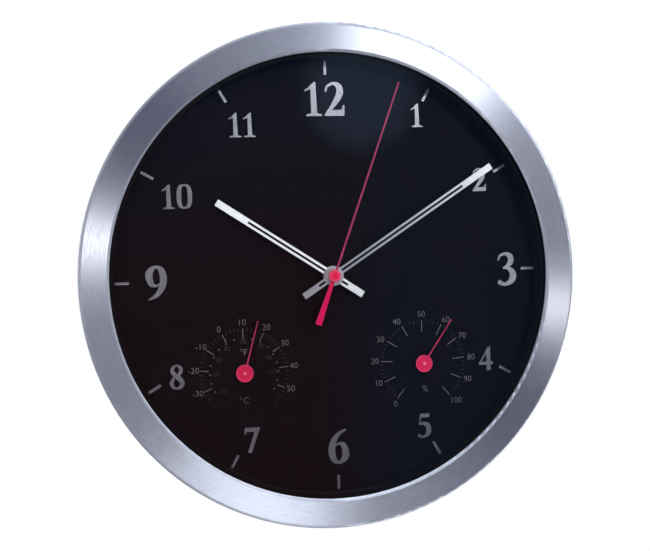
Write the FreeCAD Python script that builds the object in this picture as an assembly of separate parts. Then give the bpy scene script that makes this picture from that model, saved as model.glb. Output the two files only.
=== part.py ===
import FreeCAD, Part
import math
import os

Vector = FreeCAD.Vector

# Round wall clock with a thermometer and a hygrometer let into its dial.
# Lengths are in millimetres and angles in degrees, clockwise from twelve as seen
# from the front. The dial faces -Y, the wall is at +Y and +Z points to twelve.
# The origin is on the hands' axis in the plane of the wall. A stand is a distance
# in front of the wall, so a point's Y is minus its stand.

# Fits and cutting
overrun = 1.0
push_fit = 0.02
running_fit = 0.05
seat_gap = 0.3

# Aluminium bezel, spun from one sheet
case_diameter = 300.0
case_depth = 40.0
case_sheet = 1.2
case_edge_radius = 2.0
case_rear_radius = 1.0
face_width = 17.5
lip_radius = 1.6
lip_straight = 0.2
hem_width = 4.8

# Glass
glass_thickness = 2.0
glass_overlap = 4.0
glass_chamfer = 0.3

# Black spacer ring between the glass and the dial
ring_shoulder = 2.5
ring_wall = 2.0
ring_web = 2.0
ring_rim = 1.6
ring_rim_gap = 0.5
case_gap = 0.4
boss_diameter = 7.0
pilot_depth = 8.0

# Dial plate
dial_thickness = 0.8
dial_margin = 3.5
needle_hole_diameter = 4.4

# Moulded back cover
floor_thickness = 2.5
cover_wall = 2.2
rib_thickness = 1.6
rib_height = 6.0
rib_count = 12
rib_inner_radius = 42.0
rib_ring_inset = 48.8
nest_height = 3.0
screw_count = 6
screw_first_angle = 15.0
screw_inset = 9.3

# Cover screws
screw_shank_diameter = 2.6
screw_head_diameter = 5.6
screw_head_height = 1.8
screw_recess_length = 3.2
screw_recess_width = 0.8
screw_recess_depth = 0.9

# Hanging pocket at the top of the cover, and its steel keyhole plate
pocket_width = 26.0
pocket_top_inset = 14.8
pocket_height = 33.0
pocket_wall = 2.0
hanger_sheet = 1.2
hanger_setback = 1.5
stake_diameter = 1.4
stake_proud = 0.2
keyhole_diameter = 9.0
keyhole_rise = 12.0
keyslot_width = 4.4
keyslot_travel = 11.0

# Battery
battery_diameter = 14.5
battery_body_length = 49.5
battery_nub_length = 1.0
battery_nub_diameter = 5.5
battery_proud = 0.5
battery_side_gap = 0.35

# Movement housing
movement_wall = 1.2
movement_corner = 4.0
axis_to_top = 28.0
axis_to_bay = 10.4
contact_sheet = 0.4
spring_space = 2.1
housing_split_share = 0.5
finger_notch_width = 16.0
finger_notch_depth = 5.0
bush_diameter = 8.0
bush_proud = 0.4
washer_diameter = 12.0
washer_thickness = 0.6
nut_flats = 10.0
nut_height = 2.0
pivot_depth = 0.6
setting_stud_diameter = 1.5

# Gear train; the tiers are shares of the clear depth inside the housing
wheel_thickness = 0.7
pinion_height = 1.3
addendum_share = 0.85
dedendum_share = 1.2
tooth_root_share = 0.28
tooth_tip_share = 0.11
fifth_tier_share = 0.12
second_tier_share = 0.26
third_tier_share = 0.425
bridge_tier_share = 0.56
centre_tier_share = 0.683
minute_tier_share = 0.806
hour_tier_share = 0.925
rotor_module = 0.32
fifth_module = 0.36
third_module = 0.40
minute_module = 0.50
rotor_leaves = 6
fifth_teeth = 30
fifth_leaves = 6
second_teeth = 36
second_leaves = 6
third_teeth = 45
third_leaves = 6
centre_teeth = 48
cannon_leaves = 8
minute_teeth = 24
minute_leaves = 6
hour_teeth = 24
knob_leaves = 8
third_angle = 300.0
fifth_angle = 80.0
rotor_angle = 30.0
minute_angle = 110.0
knob_angle = 90.0

# Arbors and pipes
second_arbor_diameter = 1.0
fine_arbor_diameter = 0.8
cannon_bore_wall = 1.0
hour_pipe_wall = 0.9
knob_shaft_diameter = 2.0
knob_diameter = 10.0
knob_height = 2.6
knob_ridges = 16
knob_ridge_depth = 0.4

# Train bridge
bridge_thickness = 1.0
bridge_width = 40.0
bridge_top = 13.8
bridge_bottom_gap = 1.2
post_diameter = 3.2

# Stepping motor
magnet_diameter = 5.6
magnet_height = 3.0
air_gap = 0.6
stator_sheet = 0.8
stator_left = 3.2
stator_width = 18.6
stator_leg = 3.6
stator_top = 22.8
stator_web = 0.7
stator_pillar_diameter = 2.6
coil_diameter = 6.0
coil_flange_diameter = 7.2
coil_flange = 0.6
core_width = 2.4

# Circuit board
board_thickness = 0.8
board_side_gap = 0.5
board_to_axis = 0.3
board_bottom = 15.3
board_height = 11.0
board_stand_off = 3.6
chip_diameter = 5.0
chip_height = 1.0
crystal_diameter = 2.0
crystal_length = 6.0

# Hands
hand_gap = 1.0
hand_step = 2.0
hand_thickness = 0.4
hand_hub_diameter = 11.8
pipe_proud = 0.2
hour_angle = 303.6
hour_tip_gap = 47.6
hour_tail = 21.6
hour_width = 4.1
hour_slot_width = 1.45
hour_slot_tip = 21.9
hour_slot_end = 10.6
minute_angle_shown = 57.7
minute_tip_gap = 10.8
minute_tail = 22.0
minute_width = 3.9
minute_slot_width = 1.4
minute_slot_tip = 21.9
minute_slot_end = 11.0
second_angle = 20.7
second_tip_gap = 7.1
second_tail = 30.8
second_tip_width = 1.0
second_root_width = 1.3
second_waist_width = 1.9
second_tail_width = 4.0
second_thickness = 0.3
second_hub_diameter = 7.0
second_tube_diameter = 2.0
second_tube_length = 1.2
cap_diameter = 7.3
cap_height = 1.4
cap_round = 0.5
cap_dish_diameter = 5.6
cap_dish_depth = 0.25
glass_clearance = 0.5

# Thermometer and hygrometer
instrument_across = 55.2
instrument_below = 55.8
instrument_diameter = 26.0
instrument_plate = 0.8
cup_depth = 7.2
cup_wall = 0.6
cup_flange = 0.4
cup_floor = 0.8
vent_count = 6
vent_diameter = 3.6
vent_circle_diameter = 15.0
arbor_diameter = 1.2
collar_diameter = 3.0
needle_rise = 2.9
needle_plate = 0.4
needle_disc_diameter = 10.4
needle_reach = 32.0
needle_width = 0.8
needle_tip_width = 0.5
needle_boss_diameter = 2.2
needle_boss_height = 0.5
thermometer_angle = 16.0
hygrometer_angle = 34.8
strip_thickness = 0.4
strip_width = 2.4
strip_turns = 5
strip_pitch = 1.5
strip_post = 1.4

# Radii that follow
case_radius = case_diameter / 2
case_inner = case_radius - case_sheet
opening_radius = case_radius - face_width
ring_bore = opening_radius - ring_shoulder
fitted_radius = case_inner - case_gap
glass_radius = opening_radius + glass_overlap
dial_radius = ring_bore + dial_margin
rim_inner = glass_radius + ring_rim_gap
screw_circle = case_inner - screw_inset
pocket_top = case_inner - pocket_top_inset
pocket_bottom = pocket_top - pocket_height
keyhole_centre = pocket_bottom + keyhole_rise

# Depth of the hands' stack, from the dial to the glass
hour_rise = washer_thickness + nut_height + bush_proud + hand_gap
minute_rise = hour_rise + hand_step
second_rise = minute_rise + hand_step
cap_rise = second_rise + second_thickness
dial_gap = cap_rise + cap_height + glass_clearance

# Stands, from the front of the bezel back to the wall
lip_end_stand = case_depth - lip_radius - lip_straight
glass_back = lip_end_stand - glass_thickness
dial_front = glass_back - dial_gap
dial_back = dial_front - dial_thickness
floor_back = dial_back - floor_thickness

# Movement housing; it just holds the battery
battery_length = battery_body_length + battery_nub_length
movement_depth = movement_wall + seat_gap + battery_diameter - battery_proud
movement_width = battery_length + contact_sheet + seat_gap + spring_space + seat_gap + 2 * movement_wall
movement_half = movement_width / 2
movement_back = floor_back - movement_depth
inner_front = floor_back - movement_wall
inner_back = movement_back + movement_wall
inner_depth = inner_front - inner_back
split_stand = movement_back + housing_split_share * movement_depth
bay_top = -axis_to_bay - movement_wall
bay_bottom = bay_top - battery_diameter - 2 * battery_side_gap
movement_bottom = bay_bottom - movement_wall
board_left = movement_wall + board_side_gap - movement_half
board_right = -board_to_axis
battery_height = bay_top - battery_side_gap - battery_diameter / 2
battery_stand = inner_front - seat_gap - battery_diameter / 2

# Tiers of the train
fifth_tier = inner_back + fifth_tier_share * inner_depth
second_tier = inner_back + second_tier_share * inner_depth
third_tier = inner_back + third_tier_share * inner_depth
bridge_tier = inner_back + bridge_tier_share * inner_depth
centre_tier = inner_back + centre_tier_share * inner_depth
minute_tier = inner_back + minute_tier_share * inner_depth
hour_tier = inner_back + hour_tier_share * inner_depth
bridge_back = bridge_tier - bridge_thickness / 2
bridge_front = bridge_tier + bridge_thickness / 2

# Radii of the nested pipes on the hands' axis
second_arbor = second_arbor_diameter / 2
fine_arbor = fine_arbor_diameter / 2
cannon_bore = second_arbor + running_fit
cannon_outer = cannon_bore + cannon_bore_wall
hour_bore = cannon_outer + running_fit
hour_outer = hour_bore + hour_pipe_wall
bush_bore = hour_outer + running_fit
bush_radius = bush_diameter / 2
knob_shaft = knob_shaft_diameter / 2


def step(place, distance, angle):
    # Point at a distance and a clockwise angle from another point of the dial
    turn = math.radians(angle)
    return (place[0] + distance * math.sin(turn), place[1] + distance * math.cos(turn))


def centre_distance(module, first_teeth, other_teeth):
    return module * (first_teeth + other_teeth) / 2


# Places of the arbors, as X and Z
axis_place = (0.0, 0.0)
third_distance = centre_distance(third_module, second_leaves, third_teeth)
centre_module = 2 * third_distance / (third_leaves + centre_teeth)
minute_distance = centre_distance(minute_module, cannon_leaves, minute_teeth)
hour_module = 2 * minute_distance / (minute_leaves + hour_teeth)
third_place = step(axis_place, third_distance, third_angle)
fifth_place = step(axis_place, centre_distance(fifth_module, fifth_leaves, second_teeth), fifth_angle)
rotor_place = step(fifth_place, centre_distance(rotor_module, rotor_leaves, fifth_teeth), rotor_angle)
minute_place = step(axis_place, minute_distance, minute_angle)
knob_place = step(minute_place, centre_distance(minute_module, minute_teeth, knob_leaves), knob_angle)
thermometer_place = (-instrument_across, -instrument_below)
hygrometer_place = (instrument_across, -instrument_below)


def at(place, stand):
    return Vector(place[0], -stand, place[1])


def rod(place, low, high, radius):
    return Part.makeCylinder(radius, high - low, at(place, low), Vector(0, -1, 0))


def rod_across(left, right, stand, height, radius):
    return Part.makeCylinder(radius, right - left, at((left, height), stand), Vector(1, 0, 0))


def pipe(place, low, high, outer, bore):
    return rod(place, low, high, outer).cut(rod(place, low - overrun, high + overrun, bore))


def block(left, right, low, high, bottom, top):
    return Part.makeBox(right - left, high - low, top - bottom, Vector(left, -high, bottom))


def turned(edges, place=axis_place):
    # Solid of revolution about the axis that runs from front to back
    face = Part.Face(Part.Wire(edges))
    shape = face.revolve(Vector(0, 0, 0), Vector(0, 1, 0), 360)
    shape.translate(at(place, 0))
    return shape


def section_point(radius, stand):
    return Vector(radius, -stand, 0)


def turned_outline(corners, place=axis_place):
    # Solid of revolution from corners given as radius and stand
    points = [section_point(radius, stand) for radius, stand in corners]
    return turned(Part.makePolygon(points + points[:1]).Edges, place)


def prism(corners, low, high):
    # Plate with straight sides between two stands, from corners given as X and Z
    points = [at(corner, low) for corner in corners]
    face = Part.Face(Part.makePolygon(points + points[:1]))
    return face.extrude(Vector(0, low - high, 0))


def rounded_block(left, right, low, high, bottom, top, corner):
    # Block whose four long edges, from front to back, are rounded
    box = block(left, right, low, high, bottom, top)
    long_edges = [edge for edge in box.Edges if abs(edge.tangentAt(edge.FirstParameter).y) > 0.5]
    return box.makeFillet(corner, long_edges)


def joined(shapes):
    whole = shapes[0].fuse(shapes[1:]) if len(shapes) > 1 else shapes[0]
    return whole.removeSplitter()


def turn_about(shape, place, angle):
    turned_shape = shape.copy()
    turned_shape.rotate(at(place, 0), Vector(0, 1, 0), angle)
    return turned_shape


def around(count, first_angle=0.0):
    return [first_angle + index * 360 / count for index in range(count)]


def mesh_phase(phase, teeth, place, mate_teeth, mate_place):
    # Phase of the mate, so that one of its gaps faces the tooth that comes nearest
    line = math.degrees(math.atan2(mate_place[0] - place[0], mate_place[1] - place[1]))
    pitch = 360 / teeth
    lead = (phase - line + pitch / 2) % pitch - pitch / 2
    return line + 180 - lead * teeth / mate_teeth - 180 / mate_teeth


def gear(teeth, module, place, phase, low, high):
    # Straight-flanked teeth; the shares keep backlash at every turn of a pair
    tip = module * (teeth / 2 + addendum_share)
    root = module * (teeth / 2 - dedendum_share)
    pitch = 360 / teeth
    corners = []
    for middle in around(teeth, phase):
        corners.append(step(place, root, middle - tooth_root_share * pitch))
        corners.append(step(place, tip, middle - tooth_tip_share * pitch))
        corners.append(step(place, tip, middle + tooth_tip_share * pitch))
        corners.append(step(place, root, middle + tooth_root_share * pitch))
    return prism(corners, low, high)


def wheel(teeth, module, place, phase, tier):
    return gear(teeth, module, place, phase, tier - wheel_thickness / 2, tier + wheel_thickness / 2)


def pinion(leaves, module, place, phase, tier):
    return gear(leaves, module, place, phase, tier - pinion_height / 2, tier + pinion_height / 2)


# Phases: each pinion starts with a leaf at twelve and its mate is set to it
rotor_phase = 0.0
fifth_phase = mesh_phase(rotor_phase, rotor_leaves, rotor_place, fifth_teeth, fifth_place)
fifth_leaf_phase = 0.0
second_phase = mesh_phase(fifth_leaf_phase, fifth_leaves, fifth_place, second_teeth, axis_place)
second_leaf_phase = 0.0
third_phase = mesh_phase(second_leaf_phase, second_leaves, axis_place, third_teeth, third_place)
third_leaf_phase = 0.0
centre_phase = mesh_phase(third_leaf_phase, third_leaves, third_place, centre_teeth, axis_place)
cannon_phase = 0.0
minute_phase = mesh_phase(cannon_phase, cannon_leaves, axis_place, minute_teeth, minute_place)
minute_leaf_phase = 0.0
hour_phase = mesh_phase(minute_leaf_phase, minute_leaves, minute_place, hour_teeth, axis_place)
knob_phase = mesh_phase(minute_phase, minute_teeth, minute_place, knob_leaves, knob_place)


def make_bezel():
    # One sheet: straight side, flat front, rounded lip and a hem rolled over the cover
    half = math.sqrt(0.5)
    edge_centre = (case_radius - case_edge_radius, case_depth - case_edge_radius)
    lip_centre = (opening_radius + lip_radius, case_depth - lip_radius)
    rear_centre = (case_radius - case_rear_radius, case_rear_radius)
    inner_edge = case_edge_radius - case_sheet
    inner_lip = lip_radius - case_sheet

    def corner(centre, radius, outward, forward):
        return section_point(centre[0] + outward * radius, centre[1] + forward * radius)

    def arc(centre, radius, start, end):
        middle = ((start[0] + end[0]) * half, (start[1] + end[1]) * half)
        return Part.Arc(corner(centre, radius, *start), corner(centre, radius, *middle),
                        corner(centre, radius, *end)).toShape()

    def line(start, end):
        return Part.LineSegment(start, end).toShape()

    out = (1, 0)
    inward = (-1, 0)
    forward = (0, 1)
    backward = (0, -1)
    outer_rear = corner(rear_centre, case_rear_radius, *out)
    hem_outer = corner(rear_centre, case_rear_radius, *backward)
    hem_rear = section_point(case_inner - hem_width, 0)
    hem_front = section_point(case_inner - hem_width, case_sheet)
    wall_rear = section_point(case_inner, case_sheet)
    lip_outer_end = section_point(opening_radius, lip_end_stand)
    lip_inner_end = section_point(opening_radius + case_sheet, lip_end_stand)
    edges = [
        line(outer_rear, corner(edge_centre, case_edge_radius, *out)),
        arc(edge_centre, case_edge_radius, out, forward),
        line(corner(edge_centre, case_edge_radius, *forward), corner(lip_centre, lip_radius, *forward)),
        arc(lip_centre, lip_radius, forward, inward),
        line(corner(lip_centre, lip_radius, *inward), lip_outer_end),
        line(lip_outer_end, lip_inner_end),
        line(lip_inner_end, corner(lip_centre, inner_lip, *inward)),
        arc(lip_centre, inner_lip, inward, forward),
        line(corner(lip_centre, inner_lip, *forward), corner(edge_centre, inner_edge, *forward)),
        arc(edge_centre, inner_edge, forward, out),
        line(corner(edge_centre, inner_edge, *out), wall_rear),
        line(wall_rear, hem_front),
        line(hem_front, hem_rear),
        line(hem_rear, hem_outer),
        arc(rear_centre, case_rear_radius, backward, out),
    ]
    return turned(edges)


def make_glass():
    inner = glass_radius - glass_chamfer
    return turned_outline([
        (0, glass_back), (inner, glass_back), (glass_radius, glass_back + glass_chamfer),
        (glass_radius, lip_end_stand - glass_chamfer), (inner, lip_end_stand), (0, lip_end_stand)])


def screw_places():
    return [step(axis_place, screw_circle, angle) for angle in around(screw_count, screw_first_angle)]


def make_spacer_ring():
    # Wall round the dial, web under the glass, rim round the glass, skirt on the cover
    web_back = glass_back - ring_web
    rim_front = case_depth - case_sheet - seat_gap
    ring = turned_outline([
        (ring_bore, dial_front), (ring_bore, glass_back), (rim_inner, glass_back),
        (rim_inner, rim_front), (rim_inner + ring_rim, rim_front), (rim_inner + ring_rim, glass_back),
        (fitted_radius, glass_back), (fitted_radius, dial_back), (fitted_radius - ring_wall, dial_back),
        (fitted_radius - ring_wall, web_back), (ring_bore + ring_wall, web_back),
        (ring_bore + ring_wall, dial_front)])
    bosses = [rod(place, dial_back, web_back, boss_diameter / 2) for place in screw_places()]
    pilot = screw_shank_diameter / 2 + running_fit
    pilots = [rod(place, dial_back - overrun, dial_back + pilot_depth, pilot) for place in screw_places()]
    return joined([ring] + bosses).cut(pilots)


def make_dial_plate():
    plate = rod(axis_place, dial_back, dial_front, dial_radius)
    holes = [rod(axis_place, dial_back - overrun, dial_front + overrun, bush_radius + seat_gap)]
    for place in (thermometer_place, hygrometer_place):
        holes.append(rod(place, dial_back - overrun, dial_front + overrun, needle_hole_diameter / 2))
    return plate.cut(holes)


def stake_places():
    # Midway along the pocket's two side walls
    across = (pocket_width - pocket_wall) / 2
    middle = (pocket_bottom + pocket_top) / 2
    return [(-across, middle), (across, middle)]


def make_hanging_pocket():
    # Tower open to the rear, for the head of the wall screw; two stakes hold its plate
    half = pocket_width / 2
    top = pocket_top
    rear = hanger_setback + hanger_sheet
    outside = block(-half, half, rear, floor_back, pocket_bottom, top)
    inside = block(-half + pocket_wall, half - pocket_wall, rear - overrun, floor_back,
                   pocket_bottom + pocket_wall, top - pocket_wall)
    stakes = [rod(place, hanger_setback - stake_proud, rear, stake_diameter / 2) for place in stake_places()]
    return joined([outside.cut(inside)] + stakes)


def make_hanger_plate():
    # Keyhole: the screw's head goes in at the round hole and the clock drops on to the slot
    half = pocket_width / 2
    rear = hanger_setback + hanger_sheet
    plate = block(-half, half, hanger_setback, rear, pocket_bottom, pocket_top)
    slot_end = keyhole_centre + keyslot_travel
    low = hanger_setback - overrun
    high = rear + overrun
    holes = [rod((0, keyhole_centre), low, high, keyhole_diameter / 2)]
    holes.append(block(-keyslot_width / 2, keyslot_width / 2, low, high, keyhole_centre, slot_end))
    holes.append(rod((0, slot_end), low, high, keyslot_width / 2))
    for place in stake_places():
        holes.append(rod(place, low, high, stake_diameter / 2 + running_fit))
    return plate.cut(holes)


def make_back_cover():
    floor = rod(axis_place, floor_back, dial_back, fitted_radius)
    wall = pipe(axis_place, case_sheet, floor_back, fitted_radius, fitted_radius - cover_wall)
    rib_back = floor_back - rib_height
    ring_radius = case_inner - rib_ring_inset
    solids = [floor, wall]
    solids.append(pipe(axis_place, rib_back, floor_back, ring_radius + rib_thickness / 2,
                       ring_radius - rib_thickness / 2))
    for angle in around(rib_count):
        end = pocket_bottom + pocket_wall if angle == 0 else fitted_radius - cover_wall / 2
        rib = block(-rib_thickness / 2, rib_thickness / 2, rib_back, floor_back, rib_inner_radius, end)
        solids.append(turn_about(rib, axis_place, angle))
    nest_back = floor_back - nest_height
    nest_half = movement_half + seat_gap
    nest_low = movement_bottom - seat_gap
    nest_high = axis_to_top + seat_gap
    outer_half = nest_half + rib_thickness
    nest = rounded_block(-outer_half, outer_half, nest_back, floor_back, nest_low - rib_thickness,
                         nest_high + rib_thickness, movement_corner + rib_thickness)
    nest_space = rounded_block(-nest_half, nest_half, nest_back - overrun, floor_back, nest_low, nest_high,
                               movement_corner)
    solids.append(nest.cut(nest_space))
    seat_radius = instrument_diameter / 2 + seat_gap
    for place in (thermometer_place, hygrometer_place):
        solids.append(pipe(place, nest_back, floor_back, seat_radius + rib_thickness, seat_radius))
    solids.append(make_hanging_pocket())
    cover = joined(solids)
    low = floor_back - overrun
    high = dial_back + overrun
    holes = [rod(axis_place, low, high, bush_radius + seat_gap)]
    for place in (thermometer_place, hygrometer_place):
        holes.append(rod(place, low, high, needle_hole_diameter / 2))
        holes.append(rod(place, rib_back - overrun, floor_back, seat_radius))
    for place in screw_places():
        holes.append(rod(place, low, high, screw_shank_diameter / 2 + seat_gap))
    return cover.cut(holes)


def make_cover_screws():
    # Pan heads with a cross recess
    screws = []
    head_back = floor_back - screw_head_height
    half_length = screw_recess_length / 2
    half_width = screw_recess_width / 2
    for x, z in screw_places():
        head = rod((x, z), head_back, floor_back, screw_head_diameter / 2)
        shank = rod((x, z), floor_back, dial_back + pilot_depth - seat_gap, screw_shank_diameter / 2)
        recess = []
        for across, along in ((half_length, half_width), (half_width, half_length)):
            recess.append(block(x - across, x + across, head_back - overrun, head_back + screw_recess_depth,
                                z - along, z + along))
        screws.append(joined([head, shank]).cut(recess))
    return Part.makeCompound(screws)


def bridge_corners():
    inset = post_diameter / 2
    left = -bridge_width / 2 + inset
    right = bridge_width / 2 - inset
    bottom = -axis_to_bay + bridge_bottom_gap + inset
    top = bridge_top - inset
    return [(left, bottom), (right, bottom), (right, top), (left, top)]


def stator_pillars():
    foot = rotor_place[1] - magnet_diameter / 2
    left_leg = stator_left + stator_leg / 2
    right_leg = stator_left + stator_width - stator_leg / 2
    return [(right_leg, foot), (left_leg, rotor_place[1] + magnet_diameter)]


def board_pillars():
    inset = post_diameter
    left = board_left + inset
    right = board_right - inset
    middle = board_bottom + board_height / 2
    return [(left, middle), (right, middle)]


def make_movement_front_case():
    # Front half of the housing, with the threaded bush and the stud of the minute wheel
    outside = rounded_block(-movement_half, movement_half, split_stand, floor_back, movement_bottom,
                            axis_to_top, movement_corner)
    chamber = block(-movement_half + movement_wall, movement_half - movement_wall, split_stand - overrun,
                    inner_front, -axis_to_bay, axis_to_top - movement_wall)
    bay = block(-movement_half + movement_wall, movement_half - movement_wall, split_stand - overrun,
                inner_front, bay_bottom, bay_top)
    shell = outside.cut([chamber, bay])
    stud_end = minute_tier - pinion_height / 2
    bush_end = dial_front + washer_thickness + nut_height + bush_proud
    solids = [shell, rod(axis_place, inner_front, bush_end, bush_radius)]
    solids.append(rod(minute_place, stud_end, inner_front, setting_stud_diameter / 2))
    for place in bridge_corners():
        solids.append(rod(place, bridge_front, inner_front, post_diameter / 2))
    case = joined(solids)
    holes = [rod(axis_place, inner_front - overrun, bush_end + overrun, bush_bore)]
    for place, pivot in ((third_place, fine_arbor), (knob_place, knob_shaft)):
        holes.append(rod(place, inner_front - overrun, inner_front + pivot_depth, pivot + running_fit))
    return case.cut(holes)


def make_movement_rear_case():
    # Rear half, open over the battery, with the rear bearings of the train
    outside = rounded_block(-movement_half, movement_half, movement_back, split_stand, movement_bottom,
                            axis_to_top, movement_corner)
    chamber = block(-movement_half + movement_wall, movement_half - movement_wall, inner_back,
                    split_stand + overrun, -axis_to_bay, axis_to_top - movement_wall)
    bay = block(-movement_half + movement_wall, movement_half - movement_wall, movement_back - overrun,
                split_stand + overrun, bay_bottom, bay_top)
    solids = [outside.cut([chamber, bay])]
    for place in stator_pillars():
        solids.append(rod(place, inner_back, stator_back(), stator_pillar_diameter / 2))
    for place in board_pillars():
        solids.append(rod(place, inner_back, inner_back + board_stand_off, post_diameter / 2))
    case = joined(solids)
    holes = [rod(knob_place, movement_back - overrun, inner_back + overrun, knob_shaft + running_fit)]
    pivots = [(axis_place, second_arbor), (third_place, fine_arbor), (fifth_place, fine_arbor),
              (rotor_place, fine_arbor)]
    for place, pivot in pivots:
        holes.append(rod(place, inner_back - pivot_depth, inner_back + overrun, pivot + running_fit))
    # Notch in the lower wall, for the finger that lifts the battery
    holes.append(block(-finger_notch_width / 2, finger_notch_width / 2, movement_back - overrun,
                       movement_back + finger_notch_depth, movement_bottom - overrun, bay_bottom + overrun))
    return case.cut(holes)


def make_shaft_washer():
    return pipe(axis_place, dial_front, dial_front + washer_thickness, washer_diameter / 2,
                bush_radius + running_fit)


def make_shaft_nut():
    low = dial_front + washer_thickness
    corner_radius = nut_flats / 2 / math.cos(math.radians(30))
    hexagon = prism([step(axis_place, corner_radius, angle) for angle in around(6)], low, low + nut_height)
    return hexagon.cut(rod(axis_place, low - overrun, low + nut_height + overrun, bush_radius + running_fit))


def battery_ends():
    # The nub faces the right-hand contact; the body's flat end faces the spring
    right = movement_half - movement_wall - contact_sheet - seat_gap
    left = right - battery_length
    return left, right


def make_battery():
    left, right = battery_ends()
    body_end = left + battery_body_length
    body = rod_across(left, body_end, battery_stand, battery_height, battery_diameter / 2)
    nub = rod_across(left, right, battery_stand, battery_height, battery_nub_diameter / 2)
    return joined([body, nub])


def make_positive_contact():
    right = movement_half - movement_wall
    half = battery_nub_diameter
    return block(right - contact_sheet, right, inner_back, inner_front, battery_height - half,
                 battery_height + half)


def make_negative_contact():
    # Leaf bent into a shallow ridge that presses on the battery's flat end
    wall = -movement_half + movement_wall
    left = battery_ends()[0]
    reach = left - seat_gap
    half = battery_nub_diameter
    corners = [
        (wall, battery_height - half), (wall + contact_sheet, battery_height - half),
        (reach, battery_height - contact_sheet), (reach, battery_height + contact_sheet),
        (wall + contact_sheet, battery_height + half), (wall, battery_height + half),
        (wall, battery_height + half - contact_sheet),
        (reach - contact_sheet, battery_height),
        (wall, battery_height - half + contact_sheet)]
    return prism(corners, inner_back, inner_front - seat_gap)


def make_circuit_board():
    low = inner_back + board_stand_off
    board = block(board_left, board_right, low, low + board_thickness, board_bottom,
                  board_bottom + board_height)
    chip_place = ((board_left + board_right) / 2, board_bottom + board_height / 2)
    top = low + board_thickness
    chip = rod(chip_place, top, top + chip_height, chip_diameter / 2)
    return joined([board, chip])


def make_quartz_crystal():
    # Small can that lies on the board beside the chip
    stand = inner_back + board_stand_off + board_thickness + crystal_diameter / 2
    left = (board_left + board_right) / 2 + chip_diameter
    height = board_bottom + board_height / 2 - crystal_diameter
    return rod_across(left, left + crystal_length, stand, height, crystal_diameter / 2)


def magnet_back():
    return second_tier - wheel_thickness / 2


def stator_back():
    return magnet_back() + (magnet_height - stator_sheet) / 2


def stator_front():
    return stator_back() + stator_sheet


def make_stator():
    # Two legs and a crossbar whose hole surrounds the rotor's magnet
    left = stator_left
    right = stator_left + stator_width
    hole = magnet_diameter / 2 + air_gap
    bottom = rotor_place[1] - hole - stator_web
    bar_top = rotor_place[1] + hole + stator_web
    outline = [
        (left, bottom), (right, bottom), (right, stator_top), (right - stator_leg, stator_top),
        (right - stator_leg, bar_top), (left + stator_leg, bar_top), (left + stator_leg, stator_top),
        (left, stator_top)]
    plate = prism(outline, stator_back(), stator_front())
    return plate.cut(rod(rotor_place, stator_back() - overrun, stator_front() + overrun, hole))


def coil_height():
    return stator_top - core_width


def make_coil_core():
    # Iron bar behind the two legs, through the coil
    height = coil_height()
    return block(stator_left, stator_left + stator_width, stator_back() - stator_sheet, stator_back(),
                 height - core_width / 2, height + core_width / 2)


def make_motor_coil():
    # Winding between two flanges, over a square bobbin that clears the core
    left = stator_left + stator_leg + seat_gap
    right = stator_left + stator_width - stator_leg - seat_gap
    stand = stator_back() - stator_sheet / 2
    height = coil_height()
    solids = [rod_across(left, right, stand, height, coil_diameter / 2)]
    for start in (left, right - coil_flange):
        solids.append(rod_across(start, start + coil_flange, stand, height, coil_flange_diameter / 2))
    clear_half = core_width / 2 + running_fit
    sheet_half = stator_sheet / 2 + running_fit
    tunnel = block(left - overrun, right + overrun, stand - sheet_half, stand + sheet_half,
                   height - clear_half, height + clear_half)
    return joined(solids).cut(tunnel)


def make_train_bridge():
    # Plate that carries the front pivots of the rotor and the fifth wheel
    half = bridge_width / 2
    plate = block(-half, half, bridge_back, bridge_front, -axis_to_bay + bridge_bottom_gap, bridge_top)
    low = bridge_back - overrun
    high = bridge_front + overrun
    holes = []
    pivots = [(axis_place, second_arbor), (third_place, fine_arbor), (fifth_place, fine_arbor),
              (rotor_place, fine_arbor), (knob_place, knob_shaft)]
    for place, pivot in pivots:
        holes.append(rod(place, low, high, pivot + running_fit))
    return plate.cut(holes)


def rear_pivot_end():
    return inner_back - pivot_depth + running_fit


def make_rotor():
    leaves = pinion(rotor_leaves, rotor_module, rotor_place, rotor_phase, fifth_tier)
    magnet = rod(rotor_place, magnet_back(), magnet_back() + magnet_height, magnet_diameter / 2)
    arbor = rod(rotor_place, rear_pivot_end(), bridge_front, fine_arbor)
    return joined([arbor, leaves, magnet])


def make_fifth_wheel():
    disc = wheel(fifth_teeth, rotor_module, fifth_place, fifth_phase, fifth_tier)
    leaves = pinion(fifth_leaves, fifth_module, fifth_place, fifth_leaf_phase, second_tier)
    arbor = rod(fifth_place, rear_pivot_end(), bridge_front, fine_arbor)
    return joined([arbor, disc, leaves])


def make_second_wheel():
    # Its long arbor runs through every pipe on the axis and carries the second hand
    disc = wheel(second_teeth, fifth_module, axis_place, second_phase, second_tier)
    leaves = pinion(second_leaves, third_module, axis_place, second_leaf_phase, third_tier)
    arbor = rod(axis_place, rear_pivot_end(), dial_front + cap_rise, second_arbor)
    return joined([arbor, disc, leaves])


def make_third_wheel():
    disc = wheel(third_teeth, third_module, third_place, third_phase, third_tier)
    leaves = pinion(third_leaves, centre_module, third_place, third_leaf_phase, centre_tier)
    arbor = rod(third_place, rear_pivot_end(), inner_front + pivot_depth - running_fit, fine_arbor)
    return joined([arbor, disc, leaves])


def cannon_back():
    return bridge_front + running_fit


def make_centre_wheel():
    # It grips the cannon pinion by friction, so that the hands can be set
    disc = wheel(centre_teeth, centre_module, axis_place, centre_phase, centre_tier)
    return disc.cut(rod(axis_place, bridge_back, hour_tier, cannon_outer + push_fit))


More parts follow.
